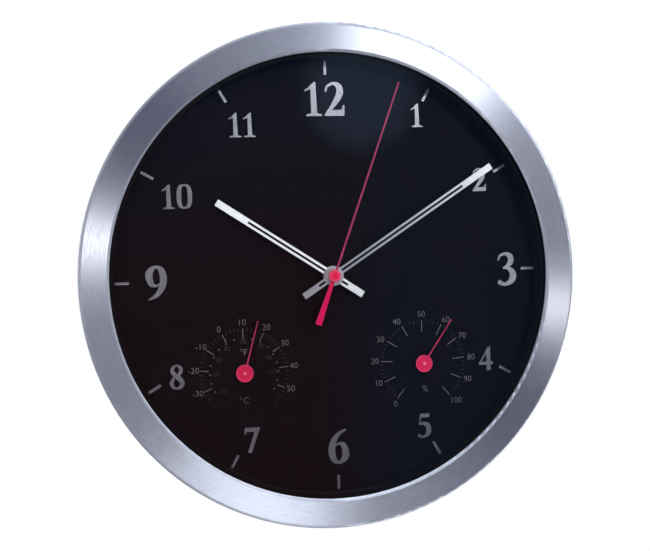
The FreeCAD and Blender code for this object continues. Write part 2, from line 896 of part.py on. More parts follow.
def make_cannon_pinion():
    leaves = pinion(cannon_leaves, minute_module, axis_place, cannon_phase, minute_tier)
    end = dial_front + minute_rise + hand_thickness + pipe_proud
    tube = rod(axis_place, cannon_back(), end, cannon_outer)
    bore = rod(axis_place, cannon_back() - overrun, end + overrun, cannon_bore)
    return joined([tube, leaves]).cut(bore)


def make_minute_wheel():
    disc = wheel(minute_teeth, minute_module, minute_place, minute_phase, minute_tier)
    leaves = pinion(minute_leaves, hour_module, minute_place, minute_leaf_phase, hour_tier)
    hub = rod(minute_place, minute_tier, hour_tier, minute_leaf_root())
    stud_bore = setting_stud_diameter / 2 + running_fit
    bore = rod(minute_place, minute_tier - pinion_height, inner_front, stud_bore)
    return joined([disc, hub, leaves]).cut(bore)


def minute_leaf_root():
    return hour_module * (minute_leaves / 2 - dedendum_share)


def make_hour_wheel():
    disc = wheel(hour_teeth, hour_module, axis_place, hour_phase, hour_tier)
    start = hour_tier - wheel_thickness / 2
    end = dial_front + hour_rise + hand_thickness + pipe_proud
    tube = rod(axis_place, start, end, hour_outer)
    return joined([disc, tube]).cut(rod(axis_place, start - overrun, end + overrun, hour_bore))


def make_setting_knob():
    # Thumb knob behind the housing, on the shaft of its pinion
    leaves = pinion(knob_leaves, minute_module, knob_place, knob_phase, minute_tier)
    knob_front = movement_back - seat_gap
    knob_back = knob_front - knob_height
    shaft = rod(knob_place, knob_back, inner_front + pivot_depth - running_fit, knob_shaft)
    corners = []
    radius = knob_diameter / 2
    quarter = 360 / knob_ridges / 4
    for angle in around(knob_ridges):
        corners.append(step(knob_place, radius, angle))
        corners.append(step(knob_place, radius, angle + quarter))
        corners.append(step(knob_place, radius - knob_ridge_depth, angle + 2 * quarter))
        corners.append(step(knob_place, radius - knob_ridge_depth, angle + 3 * quarter))
    return joined([shaft, leaves, prism(corners, knob_back, knob_front)])


def baton_hand(tip_gap, tail, width, slot_width, slot_tip, slot_end, rise, pipe_radius, angle):
    # Flat bar with a long slot, a solid tip and tail, and a round hub
    reach = ring_bore - tip_gap
    low = dial_front + rise
    high = low + hand_thickness
    bar = block(-width / 2, width / 2, low, high, -tail, reach)
    slot = block(-slot_width / 2, slot_width / 2, low - overrun, high + overrun, -slot_end, reach - slot_tip)
    hub = rod(axis_place, low, high, hand_hub_diameter / 2)
    bore = rod(axis_place, low - overrun, high + overrun, pipe_radius + push_fit)
    return turn_about(joined([bar.cut(slot), hub]).cut(bore), axis_place, angle)


def make_hour_hand():
    return baton_hand(hour_tip_gap, hour_tail, hour_width, hour_slot_width, hour_slot_tip, hour_slot_end,
                      hour_rise, hour_outer, hour_angle)


def make_minute_hand():
    return baton_hand(minute_tip_gap, minute_tail, minute_width, minute_slot_width, minute_slot_tip,
                      minute_slot_end, minute_rise, cannon_outer, minute_angle_shown)


def make_second_hand():
    # Fine needle with a tail that widens, on a short tube
    low = dial_front + second_rise
    high = low + second_thickness
    second_reach = ring_bore - second_tip_gap
    blade = prism([
        (-second_tail_width / 2, -second_tail), (-second_waist_width / 2, 0),
        (-second_root_width / 2, 0), (-second_tip_width / 2, second_reach),
        (second_tip_width / 2, second_reach), (second_root_width / 2, 0),
        (second_waist_width / 2, 0), (second_tail_width / 2, -second_tail)], low, high)
    hub = rod(axis_place, low, high, second_hub_diameter / 2)
    tube = rod(axis_place, low - second_tube_length, high, second_tube_diameter / 2)
    bore = rod(axis_place, low - second_tube_length - overrun, high + overrun, second_arbor + push_fit)
    hand = joined([blade, hub, tube]).cut(bore)
    return turn_about(hand, axis_place, second_angle)


def make_second_hand_cap():
    # Round cap with a rounded edge and a shallow dish
    low = dial_front + cap_rise
    high = low + cap_height
    cap = rod(axis_place, low, high, cap_diameter / 2)
    front_edges = [edge for edge in cap.Edges if abs(edge.CenterOfMass.y + high) < running_fit]
    dish = rod(axis_place, high - cap_dish_depth, high + overrun, cap_dish_diameter / 2)
    return cap.makeFillet(cap_round, front_edges[0]).cut(dish)


def instrument_stands():
    plate_back = floor_back - instrument_plate
    cup_back = plate_back - cup_depth
    return plate_back, cup_back


def coil_rise():
    # The bimetal strip lies midway in the cup
    plate_back, cup_back = instrument_stands()
    return (plate_back + cup_back + cup_floor) / 2 - strip_width / 2


def coil_start_radius():
    return collar_diameter / 2 + seat_gap + strip_thickness / 2


def coil_end_radius():
    return coil_start_radius() + strip_turns * strip_pitch


def make_instrument_base(place):
    # Plate against the cover, with the front bearing and the post of the spiral
    plate_back, cup_back = instrument_stands()
    plate = rod(place, plate_back, floor_back, instrument_diameter / 2)
    low = coil_rise()
    reach = coil_end_radius()
    post = block(place[0] - reach - strip_post / 2, place[0] - reach + strip_post / 2, low, plate_back,
                 place[1], place[1] + strip_post)
    bearing = rod(place, plate_back - overrun, floor_back + overrun, arbor_diameter / 2 + running_fit)
    return joined([plate, post]).cut(bearing)


def make_instrument_cup(place):
    plate_back, cup_back = instrument_stands()
    outer = instrument_diameter / 2 - cup_flange
    cup = rod(place, cup_back, plate_back, outer)
    holes = [rod(place, cup_back + cup_floor, plate_back + overrun, outer - cup_wall)]
    holes.append(rod(place, cup_back - overrun, plate_back, arbor_diameter / 2 + running_fit))
    for angle in around(vent_count, 180 / vent_count):
        vent_place = step(place, vent_circle_diameter / 2, angle)
        holes.append(rod(vent_place, cup_back - overrun, plate_back, vent_diameter / 2))
    return cup.cut(holes)


def make_instrument_coil(place):
    # Flat spiral of half circles, each centred half a step to one side of the last
    start = coil_start_radius()
    low = coil_rise()
    half_strip = strip_thickness / 2
    outer_edges = []
    inner_edges = []
    end_x = -start
    side = 1
    for half_turn in range(2 * strip_turns):
        radius = start + strip_pitch / 4 + half_turn * strip_pitch / 2
        centre_x = end_x + side * radius
        for offset, edges in ((half_strip, outer_edges), (-half_strip, inner_edges)):
            size = radius + offset
            first = at((place[0] + centre_x - side * size, place[1]), low)
            middle = at((place[0] + centre_x, place[1] + side * size), low)
            last = at((place[0] + centre_x + side * size, place[1]), low)
            edges.append(Part.Arc(first, middle, last).toShape())
        end_x = centre_x + side * radius
        side = -side
    # Both rows of arcs start at the collar and end at the post
    start_cap = Part.LineSegment(at((place[0] - start - half_strip, place[1]), low),
                                 at((place[0] - start + half_strip, place[1]), low)).toShape()
    end_cap = Part.LineSegment(at((place[0] + end_x - half_strip, place[1]), low),
                               at((place[0] + end_x + half_strip, place[1]), low)).toShape()
    wire = Part.Wire(Part.__sortEdges__(outer_edges + inner_edges + [start_cap, end_cap]))
    return Part.Face(wire).extrude(Vector(0, -strip_width, 0))


def make_instrument_arbor(place):
    cup_back = instrument_stands()[1]
    end = dial_front + needle_rise + needle_plate
    arbor = rod(place, cup_back + running_fit, end, arbor_diameter / 2)
    low = coil_rise()
    collar = rod(place, low, low + strip_width, collar_diameter / 2)
    return joined([arbor, collar])


def make_instrument_pointer(place, angle):
    low = dial_front + needle_rise
    high = low + needle_plate
    disc = rod(place, low, high, needle_disc_diameter / 2)
    needle = prism([
        (place[0] - needle_width / 2, place[1]), (place[0] - needle_tip_width / 2, place[1] + needle_reach),
        (place[0] + needle_tip_width / 2, place[1] + needle_reach), (place[0] + needle_width / 2, place[1])],
        low, high)
    boss = rod(place, high, high + needle_boss_height, needle_boss_diameter / 2)
    bore = rod(place, low - overrun, high + overrun, arbor_diameter / 2 + push_fit)
    pointer = joined([disc, needle]).cut(bore)
    return turn_about(joined([pointer, boss]), place, angle)


nodes = {
    "bezel": make_bezel(),
    "glass": make_glass(),
    "spacer_ring": make_spacer_ring(),
    "dial_plate": make_dial_plate(),
    "back_cover": make_back_cover(),
    "back_cover_screws": make_cover_screws(),
    "hanger_plate": make_hanger_plate(),
    "movement_front_case": make_movement_front_case(),
    "movement_rear_case": make_movement_rear_case(),
    "shaft_washer": make_shaft_washer(),
    "shaft_nut": make_shaft_nut(),
    "battery": make_battery(),
    "positive_contact": make_positive_contact(),
    "negative_contact": make_negative_contact(),
    "circuit_board": make_circuit_board(),
    "quartz_crystal": make_quartz_crystal(),
    "stator": make_stator(),
    "coil_core": make_coil_core(),
    "motor_coil": make_motor_coil(),
    "train_bridge": make_train_bridge(),
    "rotor": make_rotor(),
    "fifth_wheel": make_fifth_wheel(),
    "third_wheel": make_third_wheel(),
    "second_wheel": make_second_wheel(),
    "centre_wheel": make_centre_wheel(),
    "cannon_pinion": make_cannon_pinion(),
    "minute_wheel": make_minute_wheel(),
    "hour_wheel": make_hour_wheel(),
    "setting_knob": make_setting_knob(),
    "hour_hand": make_hour_hand(),
    "minute_hand": make_minute_hand(),
    "second_hand": make_second_hand(),
    "second_hand_cap": make_second_hand_cap(),
}
instruments = {
    "thermometer": (thermometer_place, thermometer_angle),
    "hygrometer": (hygrometer_place, hygrometer_angle),
}
for instrument, (place, angle) in instruments.items():
    nodes[instrument + "_base"] = make_instrument_base(place)
    nodes[instrument + "_cup"] = make_instrument_cup(place)
    nodes[instrument + "_coil"] = make_instrument_coil(place)
    nodes[instrument + "_arbor"] = make_instrument_arbor(place)
    nodes[instrument + "_pointer"] = make_instrument_pointer(place, angle)

os.makedirs("parts", exist_ok=True)
for name, shape in nodes.items():
    shape.exportStep("parts/" + name + ".step")
    print(name, "solids", len(shape.Solids), "valid", shape.isValid(), "volume", round(shape.Volume, 2))
print("least gap between turns of a spiral", round(strip_pitch - strip_thickness, 2))
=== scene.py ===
import math

import bpy
import numpy as np
from mathutils import Matrix, Vector


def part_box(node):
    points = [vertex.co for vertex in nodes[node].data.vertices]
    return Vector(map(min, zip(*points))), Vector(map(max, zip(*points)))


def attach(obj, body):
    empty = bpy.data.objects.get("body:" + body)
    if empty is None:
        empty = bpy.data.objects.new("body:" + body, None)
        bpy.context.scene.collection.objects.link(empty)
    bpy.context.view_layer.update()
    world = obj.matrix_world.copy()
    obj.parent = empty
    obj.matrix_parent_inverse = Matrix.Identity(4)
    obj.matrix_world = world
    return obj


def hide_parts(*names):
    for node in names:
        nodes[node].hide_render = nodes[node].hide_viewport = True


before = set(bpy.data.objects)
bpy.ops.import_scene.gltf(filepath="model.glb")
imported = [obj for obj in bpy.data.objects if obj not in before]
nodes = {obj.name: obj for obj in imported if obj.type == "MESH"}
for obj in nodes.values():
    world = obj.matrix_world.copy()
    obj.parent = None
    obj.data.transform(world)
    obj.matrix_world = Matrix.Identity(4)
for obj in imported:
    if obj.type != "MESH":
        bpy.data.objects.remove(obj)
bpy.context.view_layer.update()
print("frame loaded:", len(nodes), "nodes")

# All lengths are in millimetres here and become metres where a mesh is made.
# The dial faces -Y, +Z points to twelve; angles run clockwise from twelve.
milli = 0.001
dial = {"front": 26.0, "inkLift": 0.01, "inkThickness": 0.04, "thermometerPlace": (-55.2, -55.8),
        "hygrometerPlace": (55.2, -55.8)}


# Meshes
def putMesh(name, points, faces, smooth=True):
    # points is an (n, 3) array in millimetres, faces an (m, k) array of point numbers
    mesh = bpy.data.meshes.new(name)
    mesh.vertices.add(len(points))
    mesh.vertices.foreach_set("co", (np.asarray(points, float) * milli).ravel())
    sizes = np.array([len(f) for f in faces], int)
    corners = np.concatenate([np.asarray(f, int) for f in faces])
    starts = np.concatenate([[0], np.cumsum(sizes)[:-1]])
    mesh.loops.add(len(corners))
    mesh.loops.foreach_set("vertex_index", corners)
    mesh.polygons.add(len(sizes))
    mesh.polygons.foreach_set("loop_start", starts)
    mesh.polygons.foreach_set("loop_total", sizes)
    mesh.update(calc_edges=True)
    mesh.validate()
    mesh.polygons.foreach_set("use_smooth", np.full(len(mesh.polygons), smooth))
    piece = bpy.data.objects.new(name, mesh)
    bpy.context.scene.collection.objects.link(piece)
    return piece


def gridFaces(rows, columns, closeColumns=False):
    # quads between neighbouring points of a rows by columns grid
    i = np.arange(rows - 1)
    j = np.arange(columns if closeColumns else columns - 1)
    i, j = np.meshgrid(i, j, indexing="ij")
    a = i * columns + j
    b = i * columns + (j + 1) % columns
    return np.stack([a, b, b + columns, a + columns], -1).reshape(-1, 4)


# Ink outlines
# A digit is a set of brush strokes and straight slabs in a box one unit high.
# A stroke lists x, z and half width along its line, and is closed where it ends at its first point;
# a slab is a convex outline.
digitShapes = {
    "0": {"brush": [[(0.32, 0.965, 0.035), (0.50, 0.86, 0.075), (0.545, 0.50, 0.095), (0.50, 0.14, 0.075),
                     (0.32, 0.035, 0.035), (0.14, 0.14, 0.075), (0.095, 0.50, 0.095), (0.14, 0.86, 0.075),
                     (0.32, 0.965, 0.035)]], "slab": [], "width": 0.64},
    "1": {"brush": [[(0.02, 0.755, 0.022), (0.12, 0.80, 0.03), (0.24, 0.90, 0.045), (0.30, 0.965, 0.03)]],
          "slab": [[(0.185, 0.03), (0.365, 0.03), (0.335, 1.0), (0.30, 1.0), (0.185, 0.90)],
                   [(0.03, 0.0), (0.51, 0.0), (0.51, 0.045), (0.36, 0.085), (0.19, 0.085), (0.03, 0.045)]],
          "width": 0.54},
    "2": {"brush": [[(0.045, 0.735, 0.03), (0.085, 0.86, 0.035), (0.27, 0.955, 0.045), (0.445, 0.86, 0.088),
                     (0.46, 0.66, 0.10), (0.36, 0.46, 0.085), (0.20, 0.24, 0.055), (0.075, 0.085, 0.045)]],
          "slab": [[(0.0, 0.0), (0.585, 0.0), (0.60, 0.175), (0.13, 0.175), (0.0, 0.05)],
                   [(0.52, 0.0), (0.585, 0.0), (0.60, 0.31), (0.565, 0.31), (0.50, 0.17)]],
          "width": 0.60},
    "3": {"brush": [[(0.04, 0.775, 0.022), (0.10, 0.90, 0.035), (0.26, 0.955, 0.045), (0.42, 0.87, 0.082),
                     (0.42, 0.70, 0.085), (0.30, 0.575, 0.045), (0.19, 0.53, 0.022)],
                    [(0.19, 0.53, 0.022), (0.36, 0.51, 0.050), (0.485, 0.38, 0.095), (0.47, 0.19, 0.098),
                     (0.32, 0.06, 0.060), (0.15, 0.055, 0.052), (0.075, 0.105, 0.070)]],
          "slab": [], "width": 0.60},
    "4": {"brush": [],
          "slab": [[(0.335, 0.0), (0.515, 0.0), (0.515, 1.0), (0.425, 1.0), (0.335, 0.865)],
                   [(0.0, 0.245), (0.62, 0.245), (0.62, 0.37), (0.0, 0.37)],
                   [(0.0, 0.31), (0.075, 0.31), (0.45, 0.88), (0.45, 1.0), (0.43, 1.0)]],
          "width": 0.62},
    "5": {"brush": [[(0.085, 0.56, 0.03), (0.24, 0.595, 0.060), (0.42, 0.52, 0.098), (0.475, 0.33, 0.108),
                     (0.42, 0.15, 0.085), (0.27, 0.05, 0.050), (0.13, 0.05, 0.048), (0.06, 0.10, 0.062)]],
          "slab": [[(0.125, 1.0), (0.055, 0.55), (0.105, 0.55), (0.16, 0.86), (0.16, 1.0)],
                   [(0.125, 1.0), (0.10, 0.84), (0.49, 0.84), (0.54, 1.0)]],
          "width": 0.59},
    "6": {"brush": [[(0.53, 0.975, 0.022), (0.33, 0.87, 0.055), (0.17, 0.67, 0.085), (0.105, 0.42, 0.100),
                     (0.14, 0.18, 0.090), (0.22, 0.075, 0.062), (0.31, 0.045, 0.045), (0.40, 0.08, 0.062),
                     (0.49, 0.18, 0.092), (0.515, 0.32, 0.102), (0.45, 0.53, 0.075), (0.32, 0.585, 0.035),
                     (0.18, 0.52, 0.030)]],
          "slab": [], "width": 0.62},
    "7": {"brush": [],
          "slab": [[(0.03, 1.0), (0.06, 0.83), (0.60, 0.83), (0.62, 1.0)],
                   [(0.03, 1.0), (0.0, 0.74), (0.035, 0.74), (0.10, 0.85), (0.10, 1.0)],
                   [(0.62, 1.0), (0.62, 0.93), (0.285, 0.0), (0.115, 0.0), (0.43, 0.86)]],
          "width": 0.62},
    "8": {"brush": [[(0.30, 0.96, 0.040), (0.43, 0.89, 0.066), (0.475, 0.77, 0.076), (0.42, 0.64, 0.068),
                     (0.31, 0.55, 0.055), (0.16, 0.42, 0.060), (0.085, 0.25, 0.080), (0.15, 0.09, 0.062),
                     (0.30, 0.04, 0.042), (0.45, 0.10, 0.080), (0.505, 0.25, 0.095), (0.42, 0.41, 0.100),
                     (0.24, 0.57, 0.095), (0.125, 0.73, 0.080), (0.16, 0.88, 0.062), (0.30, 0.96, 0.040)]],
          "slab": [], "width": 0.60},
    "9": {"brush": [[(0.11, 0.025, 0.022), (0.31, 0.13, 0.055), (0.47, 0.33, 0.085), (0.535, 0.58, 0.100),
                     (0.50, 0.82, 0.090), (0.42, 0.925, 0.062), (0.33, 0.955, 0.045), (0.24, 0.92, 0.062),
                     (0.15, 0.82, 0.092), (0.125, 0.68, 0.102), (0.19, 0.47, 0.075), (0.32, 0.415, 0.035),
                     (0.46, 0.48, 0.030)]],
          "slab": [], "width": 0.64},
}


def smoothLine(points, perSpan=14):
    # Catmull-Rom curve: each span blends four neighbouring points by a cubic in t
    closed = points[0] == points[-1]
    p = np.array(points, float)
    ends = (p[-2:-1], p[1:2]) if closed else (2 * p[:1] - p[1:2], 2 * p[-1:] - p[-2:-1])
    p = np.vstack([ends[0], p, ends[1]])
    t = np.linspace(0, 1, perSpan, endpoint=False)[:, None]
    a, b, c, d = p[:-3, None], p[1:-2, None], p[2:-1, None], p[3:, None]
    line = 0.5 * (2 * b + (c - a) * t + (2 * a - 5 * b + 4 * c - d) * t**2 + (3 * b - a - 3 * c + d) * t**3)
    return np.vstack([line.reshape(-1, p.shape[1]), p[-2:-1]])


def brushField(x, z, stroke):
    # least of (distance to a point of the line - half width there), so ink is where it is negative
    line = smoothLine(stroke)
    return (np.hypot(x[..., None] - line[:, 0], z[..., None] - line[:, 1]) - line[:, 2]).min(-1)


def slabField(x, z, outline):
    # greatest of the signed distances to the sides of a convex outline
    c = np.array(outline, float)
    n = np.roll(c, -1, axis=0)
    turn = np.sign(np.sum(c[:, 0] * n[:, 1] - n[:, 0] * c[:, 1]))
    along = n - c
    length = np.hypot(along[:, 0], along[:, 1])
    side = (x[..., None] - c[:, 0]) * along[:, 1] - (z[..., None] - c[:, 1]) * along[:, 0]
    return (turn * side / length).max(-1)


def digitField(x, z, digit):
    shape = digitShapes[digit]
    fields = [brushField(x, z, stroke) for stroke in shape["brush"]]
    fields += [slabField(x, z, outline) for outline in shape["slab"]]
    return np.minimum.reduce(fields)


def inkPatch(field, x, z):
    # Fills the part of an x by z grid where field is negative: whole cells inside, and cells cut
    # by straight lines where the field crosses zero between two neighbouring grid points
    rows, columns = field.shape
    inside = field < 0
    number = np.arange(rows * columns).reshape(rows, columns)

    def crossing(first, second):
        share = field[first] / np.where(field[first] == field[second], 1, field[first] - field[second])
        share = np.clip(share, 0, 1)
        return x[first] + share * (x[second] - x[first]), z[first] + share * (z[second] - z[first])

    acrossX, acrossZ = crossing((slice(None), slice(0, -1)), (slice(None), slice(1, None)))
    upX, upZ = crossing((slice(0, -1), slice(None)), (slice(1, None), slice(None)))
    acrossNumber = rows * columns + np.arange(acrossX.size).reshape(acrossX.shape)
    upNumber = rows * columns + acrossX.size + np.arange(upX.size).reshape(upX.shape)
    allX = np.concatenate([x.ravel(), acrossX.ravel(), upX.ravel()])
    allZ = np.concatenate([z.ravel(), acrossZ.ravel(), upZ.ravel()])
    corner = [number[:-1, :-1], number[:-1, 1:], number[1:, 1:], number[1:, :-1]]
    cornerIn = [inside[:-1, :-1], inside[:-1, 1:], inside[1:, 1:], inside[1:, :-1]]
    edge = [acrossNumber[:-1], upNumber[:, 1:], acrossNumber[1:], upNumber[:, :-1]]
    code = sum(cornerIn[k] * (1 << k) for k in range(4))
    faces = []
    for kind in range(1, 16):
        here = code == kind
        if not here.any():
            continue
        ring = []
        for k in range(4):
            if kind >> k & 1:
                ring.append(corner[k][here])
            if (kind >> k & 1) != (kind >> (k + 1) % 4 & 1):
                ring.append(edge[k][here])
        faces += list(np.stack(ring, -1))
    used = np.unique(np.concatenate(faces))
    place = np.full(len(allX), -1)
    place[used] = np.arange(len(used))
    return allX[used], allZ[used], [place[f] for f in faces]


def finishInk(name, patches, material):
    # Joins flat patches of ink just in front of the dial, and gives them a film's thickness
    front = dial["front"] + dial["inkLift"]
    points, faces, count = [], [], 0
    for px, pz, patchFaces in patches:
        points.append(np.stack([px, np.full(len(px), -front), pz], -1))
        faces += [np.asarray(f) + count for f in patchFaces]
        count += len(px)
    piece = putMesh(name, np.vstack(points), faces, smooth=False)
    film = piece.modifiers.new("film", "SOLIDIFY")
    film.thickness = dial["inkThickness"] * milli
    film.offset = 1.0
    piece.data.materials.append(material)
    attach(piece, "case")


def barPatch(centreX, centreZ, angle, inner, outer, width):
    # straight mark: a rectangle that runs out from inner to outer along a clockwise angle
    turn = math.radians(angle)
    out = np.array([math.sin(turn), math.cos(turn)])
    side = np.array([out[1], -out[0]]) * width / 2
    c = np.array([out * inner - side, out * inner + side, out * outer + side, out * outer - side])
    return c[:, 0] + centreX, c[:, 1] + centreZ, [[0, 1, 2, 3]]


def dotPatch(centreX, centreZ, radius, sides=12):
    # round dot: a polygon on a circle, from outline angle to x and z
    turn = np.arange(sides) * 2 * math.pi / sides
    return centreX + radius * np.cos(turn), centreZ + radius * np.sin(turn), [list(range(sides))]


smallFont = {"curveSteps": 3, "thinning": -0.012}


def textPatch(words, centreX, centreZ, height):
    # plain figures from Blender's own font, scaled to a height and set about a centre
    curve = bpy.data.curves.new("words", "FONT")
    curve.body = words
    curve.fill_mode = "FRONT"
    curve.resolution_u = smallFont["curveSteps"]
    curve.offset = smallFont["thinning"]
    holder = bpy.data.objects.new("words", curve)
    bpy.context.scene.collection.objects.link(holder)
    mesh = bpy.data.meshes.new_from_object(holder.evaluated_get(bpy.context.evaluated_depsgraph_get()))
    co = np.zeros(len(mesh.vertices) * 3)
    mesh.vertices.foreach_get("co", co)
    co = co.reshape(-1, 3)[:, :2]
    faces = [list(p.vertices) for p in mesh.polygons]
    bpy.data.objects.remove(holder)
    bpy.data.curves.remove(curve)
    bpy.data.meshes.remove(mesh)
    low, high = co.min(0), co.max(0)
    scale = height / (high[1] - low[1])
    co = (co - (low + high) / 2) * scale
    return co[:, 0] + centreX, co[:, 1] + centreZ, faces


def polar(place, radius, angle):
    turn = math.radians(angle)
    return place[0] + radius * math.sin(turn), place[1] + radius * math.cos(turn)


# Shader groups: effects that several materials share
def newGroup(name, numbers, outputs):
    # a group that takes a Vector and numbers with defaults, and puts out numbers
    group = bpy.data.node_groups.new(name, "ShaderNodeTree")
    group.interface.new_socket("Vector", in_out="INPUT", socket_type="NodeSocketVector")
    for label, value in numbers.items():
        group.interface.new_socket(label, in_out="INPUT", socket_type="NodeSocketFloat").default_value = value
    for label in outputs:
        group.interface.new_socket(label, in_out="OUTPUT", socket_type="NodeSocketFloat")
    return group, group.nodes.new("NodeGroupInput").outputs, group.nodes.new("NodeGroupOutput").inputs


def addNode(tree, kind, inputs=(), **settings):
    # inputs pairs a socket's name or number with a value or with another node's output
    node = tree.nodes.new("ShaderNode" + kind)
    for key, value in settings.items():
        setattr(node, key, value)
    for key, value in dict(inputs).items():
        if isinstance(value, bpy.types.NodeSocket):
            tree.links.new(value, node.inputs[key])
        else:
            node.inputs[key].default_value = value
    return node


def calc(tree, operation, *values):
    # result of a Math node; each value is a number or another node's output
    return addNode(tree, "Math", dict(enumerate(values)), operation=operation).outputs[0]


def vectorCalc(tree, operation, *values):
    # the same for vectors; a length and a dot product are numbers
    node = addNode(tree, "VectorMath", dict(enumerate(values)), operation=operation)
    return node.outputs["Value" if operation in ("LENGTH", "DOT_PRODUCT") else "Vector"]


def makeRingBrushing():
    # noise read along circles about Y: fast across the rings, by radius + depth, and slow along them
    group, start, end = newGroup("ringBrushing", {"Rings": 4000.0, "Arcs": 6.0}, ["Streaks"])
    flat = vectorCalc(group, "MULTIPLY", start["Vector"], (1, 0, 1))
    radius = vectorCalc(group, "LENGTH", flat)
    heading = vectorCalc(group, "NORMALIZE", flat)
    arc = addNode(group, "VectorMath", {0: heading, "Scale": start["Arcs"]}, operation="SCALE").outputs[0]
    depth = addNode(group, "SeparateXYZ", {0: start["Vector"]}).outputs[1]
    ring = calc(group, "MULTIPLY", calc(group, "ADD", radius, depth), start["Rings"])
    lift = addNode(group, "CombineXYZ", {"Y": ring}).outputs[0]
    noise = addNode(group, "TexNoise", {"Vector": vectorCalc(group, "ADD", arc, lift), "Scale": 1.0,
                                        "Detail": 3.0, "Roughness": 0.6})
    group.links.new(noise.outputs["Fac"], end["Streaks"])
    return group


def makeStraightBrushing():
    # noise stretched along the first axis of the incoming vector
    group, start, end = newGroup("straightBrushing", {"Lines": 6000.0, "Length": 60.0}, ["Streaks"])
    axes = addNode(group, "SeparateXYZ", {0: start["Vector"]}).outputs
    along = calc(group, "MULTIPLY", axes[0], start["Length"])
    across = calc(group, "MULTIPLY", axes[2], start["Lines"])
    deep = calc(group, "MULTIPLY", axes[1], start["Lines"])
    where = addNode(group, "CombineXYZ", {0: along, 1: deep, 2: across}).outputs[0]
    noise = addNode(group, "TexNoise", {"Vector": where, "Scale": 1.0, "Detail": 2.0})
    group.links.new(noise.outputs["Fac"], end["Streaks"])
    return group


cloudScale = 35.0    # clouds about 3 cm across


def makeMouldGrain():
    # fine eroded texture of a steel mould, with broad cloudy changes of gloss
    group, start, end = newGroup("mouldGrain", {"Grain Size": 2500.0}, ["Height", "Clouds"])
    fine = addNode(group, "TexNoise", {"Vector": start["Vector"], "Scale": start["Grain Size"], "Detail": 2.0,
                                       "Roughness": 0.7})
    broad = addNode(group, "TexNoise", {"Vector": start["Vector"], "Scale": cloudScale, "Detail": 4.0})
    group.links.new(fine.outputs["Fac"], end["Height"])
    group.links.new(broad.outputs["Fac"], end["Clouds"])
    return group


def makeSpecks():
    # sparse round flecks: 1 near the middle of some cells, 0 between them
    group, start, end = newGroup("specks", {"Cells": 900.0, "Size": 0.3}, ["Flecks"])
    cells = addNode(group, "TexVoronoi", {"Vector": start["Vector"], "Scale": start["Cells"]})
    group.links.new(calc(group, "LESS_THAN", cells.outputs["Distance"], start["Size"]), end["Flecks"])
    return group


ringBrushing = makeRingBrushing()
straightBrushing = makeStraightBrushing()
mouldGrain = makeMouldGrain()
specks = makeSpecks()
print("shader groups made")


# Materials
socketNames = {"color": "Base Color", "metal": "Metallic", "rough": "Roughness", "ior": "IOR",
               "specular": "Specular IOR Level", "coat": "Coat Weight", "coatRough": "Coat Roughness",
               "clear": "Transmission Weight", "stretch": "Anisotropic", "turn": "Anisotropic Rotation"}


def newMaterial(name, **sockets):
    made = bpy.data.materials.new(name)
    made.use_nodes = True
    tree = made.node_tree
    shader = tree.nodes["Principled BSDF"]
    for key, value in sockets.items():
        shader.inputs[socketNames[key]].default_value = (*value, 1.0) if isinstance(value, tuple) else value
    where = addNode(tree, "TexCoord").outputs["Object"]
    return made, tree, shader, where


def useGroup(tree, group, inputs):
    return addNode(tree, "Group", inputs, node_tree=group).outputs


def roughen(tree, value, low, high, shader):
    # a shader's roughness: low where the value is 0 and high where it is 1
    scaled = addNode(tree, "MapRange", {"Value": value, "To Min": low, "To Max": high})
    tree.links.new(scaled.outputs["Result"], shader.inputs["Roughness"])


def softStep(tree, value, edges, unit=1.0):
    # 0 below the first edge, 1 above the second and an S curve between them
    low, high = edges[0] * unit, edges[1] * unit
    step = addNode(tree, "MapRange", {"Value": value, "From Min": low, "From Max": high},
                   interpolation_type="SMOOTHSTEP")
    return step.outputs["Result"]


def blendColors(tree, factor, first, second, shader=None):
    # each colour is a plain one or another node's output; a shader that is given takes the blend
    mix = addNode(tree, "Mix", data_type="RGBA")
    for socket, value in ((mix.inputs[6], first), (mix.inputs[7], second)):
        if isinstance(value, bpy.types.NodeSocket):
            tree.links.new(value, socket)
        else:
            socket.default_value = (*value, 1.0)
    if isinstance(factor, bpy.types.NodeSocket):
        tree.links.new(factor, mix.inputs[0])
    else:
        mix.inputs[0].default_value = factor
    if shader is not None:
        tree.links.new(mix.outputs[2], shader.inputs["Base Color"])
    return mix.outputs[2]


def addBump(tree, height, strength, distance, shader):
    bump = addNode(tree, "Bump", {"Height": height, "Strength": strength, "Distance": distance})
    tree.links.new(bump.outputs["Normal"], shader.inputs["Normal"])


def mixShaders(tree, factor, first, second):
    mix = addNode(tree, "MixShader", {0: factor, 1: first.outputs[0], 2: second.outputs[0]})
    tree.links.new(mix.outputs[0], tree.nodes["Material Output"].inputs["Surface"])


def dress(nodeNames, material):
    for name in nodeNames:
        mesh = nodes[name].data
        if mesh.materials:
            mesh.materials[0] = material
        else:
            mesh.materials.append(material)


# Bezel: aluminium brushed in rings
bezelLook = {"color": (0.83, 0.87, 0.97), "dark": (0.50, 0.53, 0.62), "dull": (0.42, 0.45, 0.54),
             "dulling": 0.45, "cloudGrain": 500.0, "metal": 0.92, "rough": (0.27, 0.50), "stretch": 1.0,
             "turn": 0.25, "lipRough": 0.68, "lipStart": (-0.995, -0.96), "lipEnd": (-0.4, -0.15),
             "rings": 1300.0, "arcs": 26.0, "bump": (0.15, 0.00002)}


